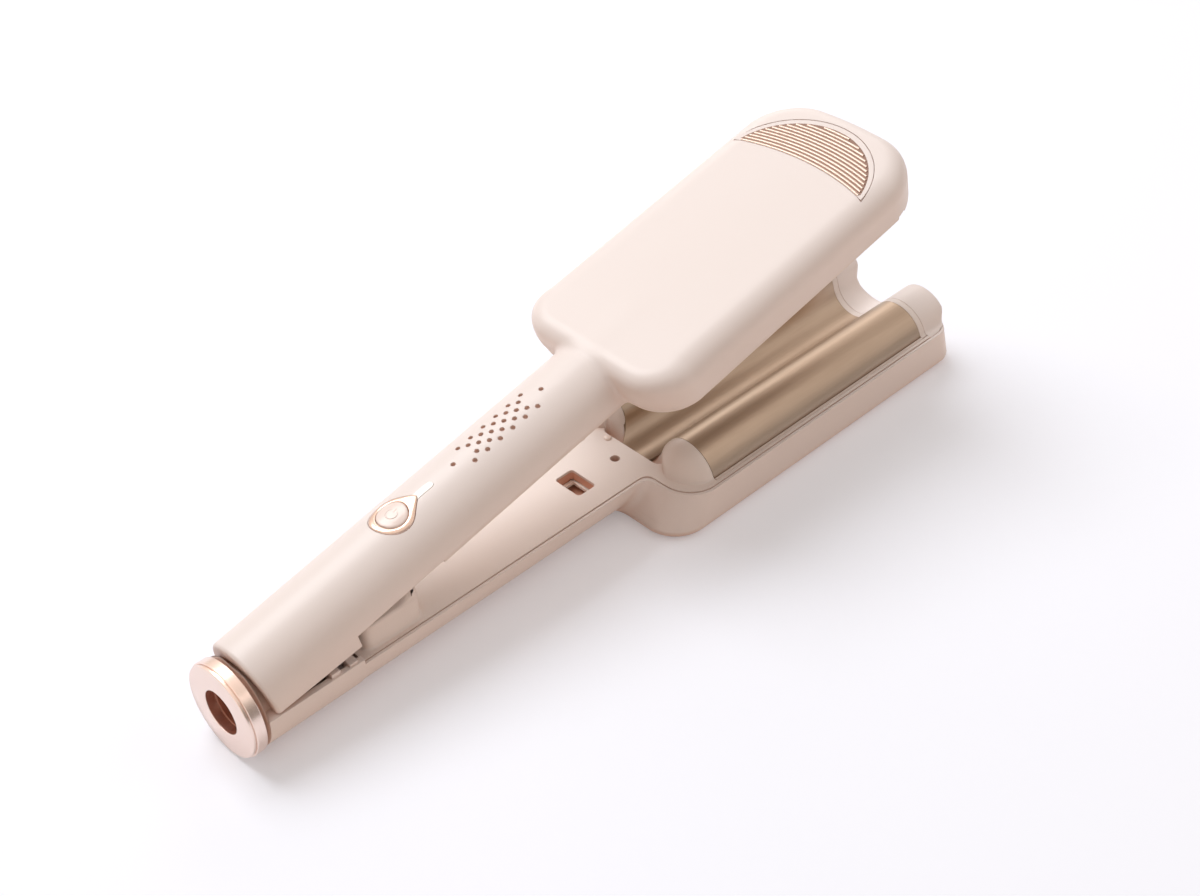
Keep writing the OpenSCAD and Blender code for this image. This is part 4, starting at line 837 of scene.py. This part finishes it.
angles = spread(np.linspace(-np.pi / 2, -0.03, 12), np.linspace(0, np.pi, 190),
                np.linspace(np.pi + 0.03, 3 * np.pi / 2 - 0.1, 12))
places = spread(crowded(11.901, 1.4, 9), [20, 40, 60, 80, 100, 120, 140, 155, 164],
                np.arange(168, 174.4, 0.4), [174.4, 174.48], crowded(174.5, 18, 44), np.arange(194, 300, 7),
                crowded(328.799, -26, 44))
outer = loft(lambda x, y, z: np.maximum(upperBody(x, y, z), 16 - z), places, angles, upperCasing["rim"])
places = spread([14.1, 20, 60, 100, 150, 168, 176.5], crowded(176.7, 14, 18), [200, 240, 280, 300],
                crowded(326.5, -22, 20))
inner = loft(lambda x, y, z: np.maximum(upperBody(x, y, z) + upperCasing["wall"], 14 - z), places,
             spread(fullTurn(141)), upperCasing["rim"])
c = upperCasing
below = prism([(0, 0), (0, 25), (11.9, 24.3), (47.8, 22), (47.8, c["rim"]), (360, c["rim"]), (360, 0)],
              -50, 50, axis="Y")
wide, high = c["mouthHalf"], c["mouthHeight"]
mouth = [(wide * math.cos(a), c["rim"] + high * math.sin(a)) for a in np.linspace(0, np.pi, 40)]
barrels = sectionPoints(c["barrelGap"], 22)
casing = cut(outer, inner, below,
             prism([(wide, 10)] + mouth + [(-wide, 10)], 10, 18, axis="X"),
             prism([(-39, 0)] + barrels + [(39, 0)], 313, 332, axis="X"),
             prism(gripOutline(grip["gap"]), grip["base"] - 0.7, 50),
             drills, prism(ringOutline(0.18), 33, 50), prism(stemOutline(0.1), 33, 50))
# a pale filter pad just under the vents
liner = heightField(lambda x, y, z: z - handleTop(y) + 1.25, [108, 158], np.linspace(-7.5, 7.5, 16), 38)
done(joined(casing, liner), "upperCasing", "upper_arm", "casing", "upper_cover")
print("upper casing done")


# upper inner cover, seen from below

upperInner = {"flange": 26.5, "barrelStart": 203, "barrelEnd": 328.2, "barrelRadius": 10.03,
              "endRound": 3.5, "plateEnd": 311, "seatHalf": 36.9, "hook": (159.7, 163.6, 3.8),
              "screws": ((94, 0), (181, 24), (181, -24), (200, 32.2), (200, -32.2))}


def coverUnder(x, y, z):
    c, own = section, upperInner
    barrel = np.hypot(np.hypot(y, z - c["valleyC"]), np.maximum(own["barrelStart"] - x, 0))
    barrel = roundedMax(barrel - own["barrelRadius"], x - own["barrelEnd"], own["endRound"])
    solid = softMin(own["flange"] - z, barrel, 0.5)
    gap = upperCasing["barrelGap"]
    barrels = np.where(x > c["domeStart"], plateDistance(y, z, gap), domeDistance(x, y, z, gap))
    return np.maximum(solid, -np.where(x > 180, barrels, 99))


places = spread([87.2, 110, 140, 166, 170, 175], np.arange(180, 203, 0.5),
                [203, 230, 260, 290, 311, 315, 320, 323], np.arange(324, 328.6, 0.3), [330])
under = heightField(coverUnder, places, acrossArm, 31.4, top=0, down=True)
cut(under, prism(upperRim(0.12), 0, 60), operation="INTERSECT")
ledge = cut(block(80, 335, -45, 45, 27.62, 40), block(190, 202.9, -34.5, 34.5, 20, 50),
            block(311.1, 326, -30, 30, 20, 50))
c = upperInner
cut(under, ledge, block(c["barrelStart"], c["plateEnd"], -c["seatHalf"], c["seatHalf"], 0, 50),
    block(*c["hook"][:2], -c["hook"][2], c["hook"][2], 0, 50))
for x, y in c["screws"]:
    cut(under, rod(2.1, 0, 28.4, (x, y, 0), "Z", 32))
done(under, "upperInnerCover", "upper_arm", "inner_plastic", "upper_inner_cover")
screwSet("upperScrews", [(x, y, 28.35) for x, y in c["screws"]], 5.5, 1.0, "upper_arm", "upper_screws")


# grip insert: a brown base, whose brown is painted shade between the ribs, and ribs that follow the bow

base = prism(gripOutline(0), grip["base"] - 1.0, upperCasing["top"] - 0.12)
inset = grip["margin"] + grip["back"] + 1.0
centre, bowCentre = gripCentres(grip["back"])
ribPoints, ribEdges = [], []
for i in range(grip["ribs"]):
    reach = grip["bow"] + 0.75 + i * (grip["length"] - inset) / (grip["ribs"] - 0.5)
    inside = [a for a in np.linspace(-0.34, 0.34, 600)
              if math.hypot(bowCentre + reach * math.cos(a) - centre, reach * math.sin(a))
              < grip["radius"] - grip["margin"] - 0.6]
    for k, a in enumerate(np.linspace(inside[0], inside[-1], 48)):
        if k:
            ribEdges.append((len(ribPoints) - 1, len(ribPoints)))
        ribPoints.append((bowCentre + reach * math.cos(a), reach * math.sin(a), 0))
ribs = sweep("ribs", ribPoints, ribEdges, 14, "rib_metal",
             {"Radius": grip["ribRadius"], "Lift": upperCasing["top"] - 0.42})
bed = prism(gripOutline(-grip["margin"], grip["back"]), grip["base"], upperCasing["top"] - 0.09)
done(base, "gripBase", "upper_arm", "casing", "grip_insert")
# the bed between the ribs is brown as painted shade in the grooves
done(bed, "gripBed", "upper_arm", "rose_metal", finish="groove_painted_shade")
done(ribs, "gripRibs", "upper_arm", "rose_metal", finish="rib_metal")


# button, bezel and light, laid on the handle's curve

def draped(rows, closed=False):
    # each row is a reach for every direction round the button, and a height over the handle
    points, steps = [], 120
    for reach, lift in rows:
        for k in range(steps):
            a = 2 * math.pi * k / steps
            r = reach(a) if callable(reach) else reach
            y = button["y"] + r * math.sin(a)
            points.append((button["x"] + r * math.cos(a), y, float(handleTop(y)) + lift))
    faces = bands(len(rows), steps, closed)
    return tidyMesh(meshObject("draped", points, faces if closed else faces + ends(len(rows), steps)))


def ringInset(inset):
    return lambda a: ringReach(a, -inset)


r = button["radius"]
cap = [(r, -3.0), (r, 0.1), (r - 0.12, 0.34), (r - 0.4, 0.48), (r - 0.8, 0.52)]
cap += [(q, 0.52 + 0.14 * (1 - (q / (r - 0.8)) ** 2)) for q in (3.9, 3.2, 2.5, 1.8, 1.0, 0.3)]
stalk = rod(1.6, 37.5, 41, (84, 0, 0), "Z", 32)
# the usual power sign, barely raised: a ring with a gap and a short bar in it
size = button["signRadius"]
sign = [(size * math.cos(a), size * math.sin(a)) for a in np.linspace(0.55, 2 * math.pi - 0.55, 36)]
sign += [(0.9 + 1.7 * i / 6, 0) for i in range(7)]
sign = [(button["x"] + x, button["y"] + y, float(handleTop(button["y"] + y))) for x, y in sign]
lines = [(i, i + 1) for i in range(42) if i != 35]
sign = sweep("sign", sign, lines, 10, "button_pink", {"Radius": 0.26, "Lift": 0.52})
done(joined(draped(cap), stalk, sign), "powerButton", "button", "button_pink", "power_button")

hole = r + 0.22
bezel = [(ringInset(0), -2.0), (ringInset(0), 0.1), (ringInset(0.2), 0.3), (ringInset(0.6), 0.42),
         (ringInset(1.2), 0.44), (hole + 0.5, 0.36), (hole + 0.15, 0.26), (hole, 0.08), (hole, -2.0)]
done(draped(bezel, True), "buttonBezel", "upper_arm", "rose_metal", "button_bezel",
     finish="bezel_metal", sharp=50)

lid = heightField(lambda x, y, z: z - handleTop(y) - 0.12, np.linspace(88, 103, 16),
                  np.linspace(-2.4, 2.4, 17), 41.0)
cut(lid, prism(stemOutline(0), 30, 60), operation="INTERSECT")
cut(lid, prism(ringOutline(0.06), 30, 60))
done(lid, "lightStem", "upper_arm", "lens_white", "indicator_lens")
print("controls done")


# what stays as it is in the frame gets its finish

keptFinishes = {
    "heater_ceramic": ("lower_heaters", "upper_heater", "thermal_fuse"),
    "spring_steel": ("lower_heater_clips", "upper_heater_clip", "torsion_spring"),
    "contact_brass": ("lower_thermistor", "contact_rings", "contact_brushes"),
    "screw_steel": ("carrier_screws", "board_screws", "lower_bracket_screws", "upper_bracket_screws"),
    "bracket_steel": ("hinge_pin", "lower_hinge_bracket", "upper_hinge_bracket"),
    "inner_plastic": ("contact_block", "lock_hook", "upper_plate_carrier"),
    "lead_sleeve": ("supply_leads", "lower_heater_leads", "upper_leads"),
    "component_black": ("board_components", "power_switch"),
    "board_green": ("circuit_board",),
    "lens_white": ("lock_slider",),
}
for finish, kept in keptFinishes.items():
    for node in kept:
        for materialSlot in frame["nodes"][node].material_slots:
            materialSlot.material = materials[finish]


# floor, lights and camera

room = {"lift": 0.22, "farLift": 0.75, "world": 0.45, "key": 14.5, "fill": 3.2, "back": 2.6,
        "floor": (230, 234, 243), "mottle": (228, 232, 242), "bounce": (238, 214, 198)}

floorMaterial = bpy.data.materials.new("floor")
tree = emptyTree(floorMaterial)
# what the camera and reflections see of the floor is white, what lights the piece from it is warm
direct = tree.add("ShaderNodeLightPath", output=0) + tree.add("ShaderNodeLightPath", output=3)
place = tree.add("ShaderNodeTexCoord", output=3)
mottle = tree.add("ShaderNodeTexNoise", {"Vector": place, "Scale": 3.0})
tint = tree.mix(mottle, linear(*room["floor"]), linear(*room["mottle"]))
diffuse = tree.add("ShaderNodeBsdfDiffuse", {"Color": tree.mix(direct, linear(*room["bounce"]), tint)})
# the floor's own light grows with distance, so it runs out into white
away = tree.add("ShaderNodeVectorMath", {0: place}, output=1, operation="LENGTH")
lift = tree.smooth(away, 0.5, 2.4, room["lift"], room["farLift"])
glow = tree.add("ShaderNodeEmission", {"Color": (1, 0.985, 0.99, 1), "Strength": direct * lift})
both = tree.add("ShaderNodeAddShader", {0: diffuse, 1: glow})
tree.add("ShaderNodeOutputMaterial", {"Surface": both})
floor = meshObject("floor", [(-6, -6, 0), (6, -6, 0), (6, 6, 0), (-6, 6, 0)], [[0, 1, 2, 3]])
floor.data.materials.append(floorMaterial)

world = bpy.data.worlds.new("studio")
tree = emptyTree(world)
# white to the camera, even to the surfaces' own light, and in reflections darker towards the near right
seen = tree.add("ShaderNodeLightPath", output=0)
reflected = tree.add("ShaderNodeLightPath", output=3)
way = tree.add("ShaderNodeTexCoord", output=0)
slope = tree.add("ShaderNodeVectorMath", {0: way, 1: (-0.45, 0.45, 0.77)}, output=1,
                 operation="DOT_PRODUCT")
shade = tree.smooth(slope, -0.35, 0.75, 0.28, 1.15)
strength = seen + (1 - seen) * (reflected * shade + (1 - reflected) * room["world"])
tint = tree.mix(seen, (1, 0.89, 0.81, 1), (1, 1, 1, 1))
sky = tree.add("ShaderNodeBackground", {"Color": tint, "Strength": strength})
tree.add("ShaderNodeOutputWorld", {"Surface": sky})
scene.world = world


def areaLight(name, place, aim, size, power, colour):
    light = bpy.data.lights.new(name, "AREA")
    light.shape, light.size, light.size_y = "RECTANGLE", size[0], size[1]
    light.energy, light.color = power, colour
    lamp = bpy.data.objects.new(name, light)
    lamp.location = place
    lamp.rotation_euler = (Vector(aim) - Vector(place)).to_track_quat("-Z", "Y").to_euler()
    scene.collection.objects.link(lamp)


areaLight("key", (-0.16, 0.78, 1.3), (0, 0, 0), (0.9, 0.9), room["key"], (0.985, 0.985, 1))
areaLight("fill", (0.9, -0.9, 0.9), (0, 0, 0.02), (1.2, 1.2), room["fill"], (1, 0.93, 0.88))
areaLight("back", (0.9, 0.9, 0.7), (0, 0, 0.03), (0.8, 0.8), room["back"], (1, 0.98, 0.97))

camera = bpy.data.objects.new("camera", bpy.data.cameras.new("camera"))
camera.data.lens, camera.data.sensor_width = 55.12, 36.0
camera.location = (-0.3721, -0.3736, 0.4660)
camera.rotation_euler = Vector((0.5442, 0.5441, -0.6386)).to_track_quat("-Z", "Y").to_euler()
scene.collection.objects.link(camera)
scene.camera = camera
scene.view_settings.view_transform = "Standard"
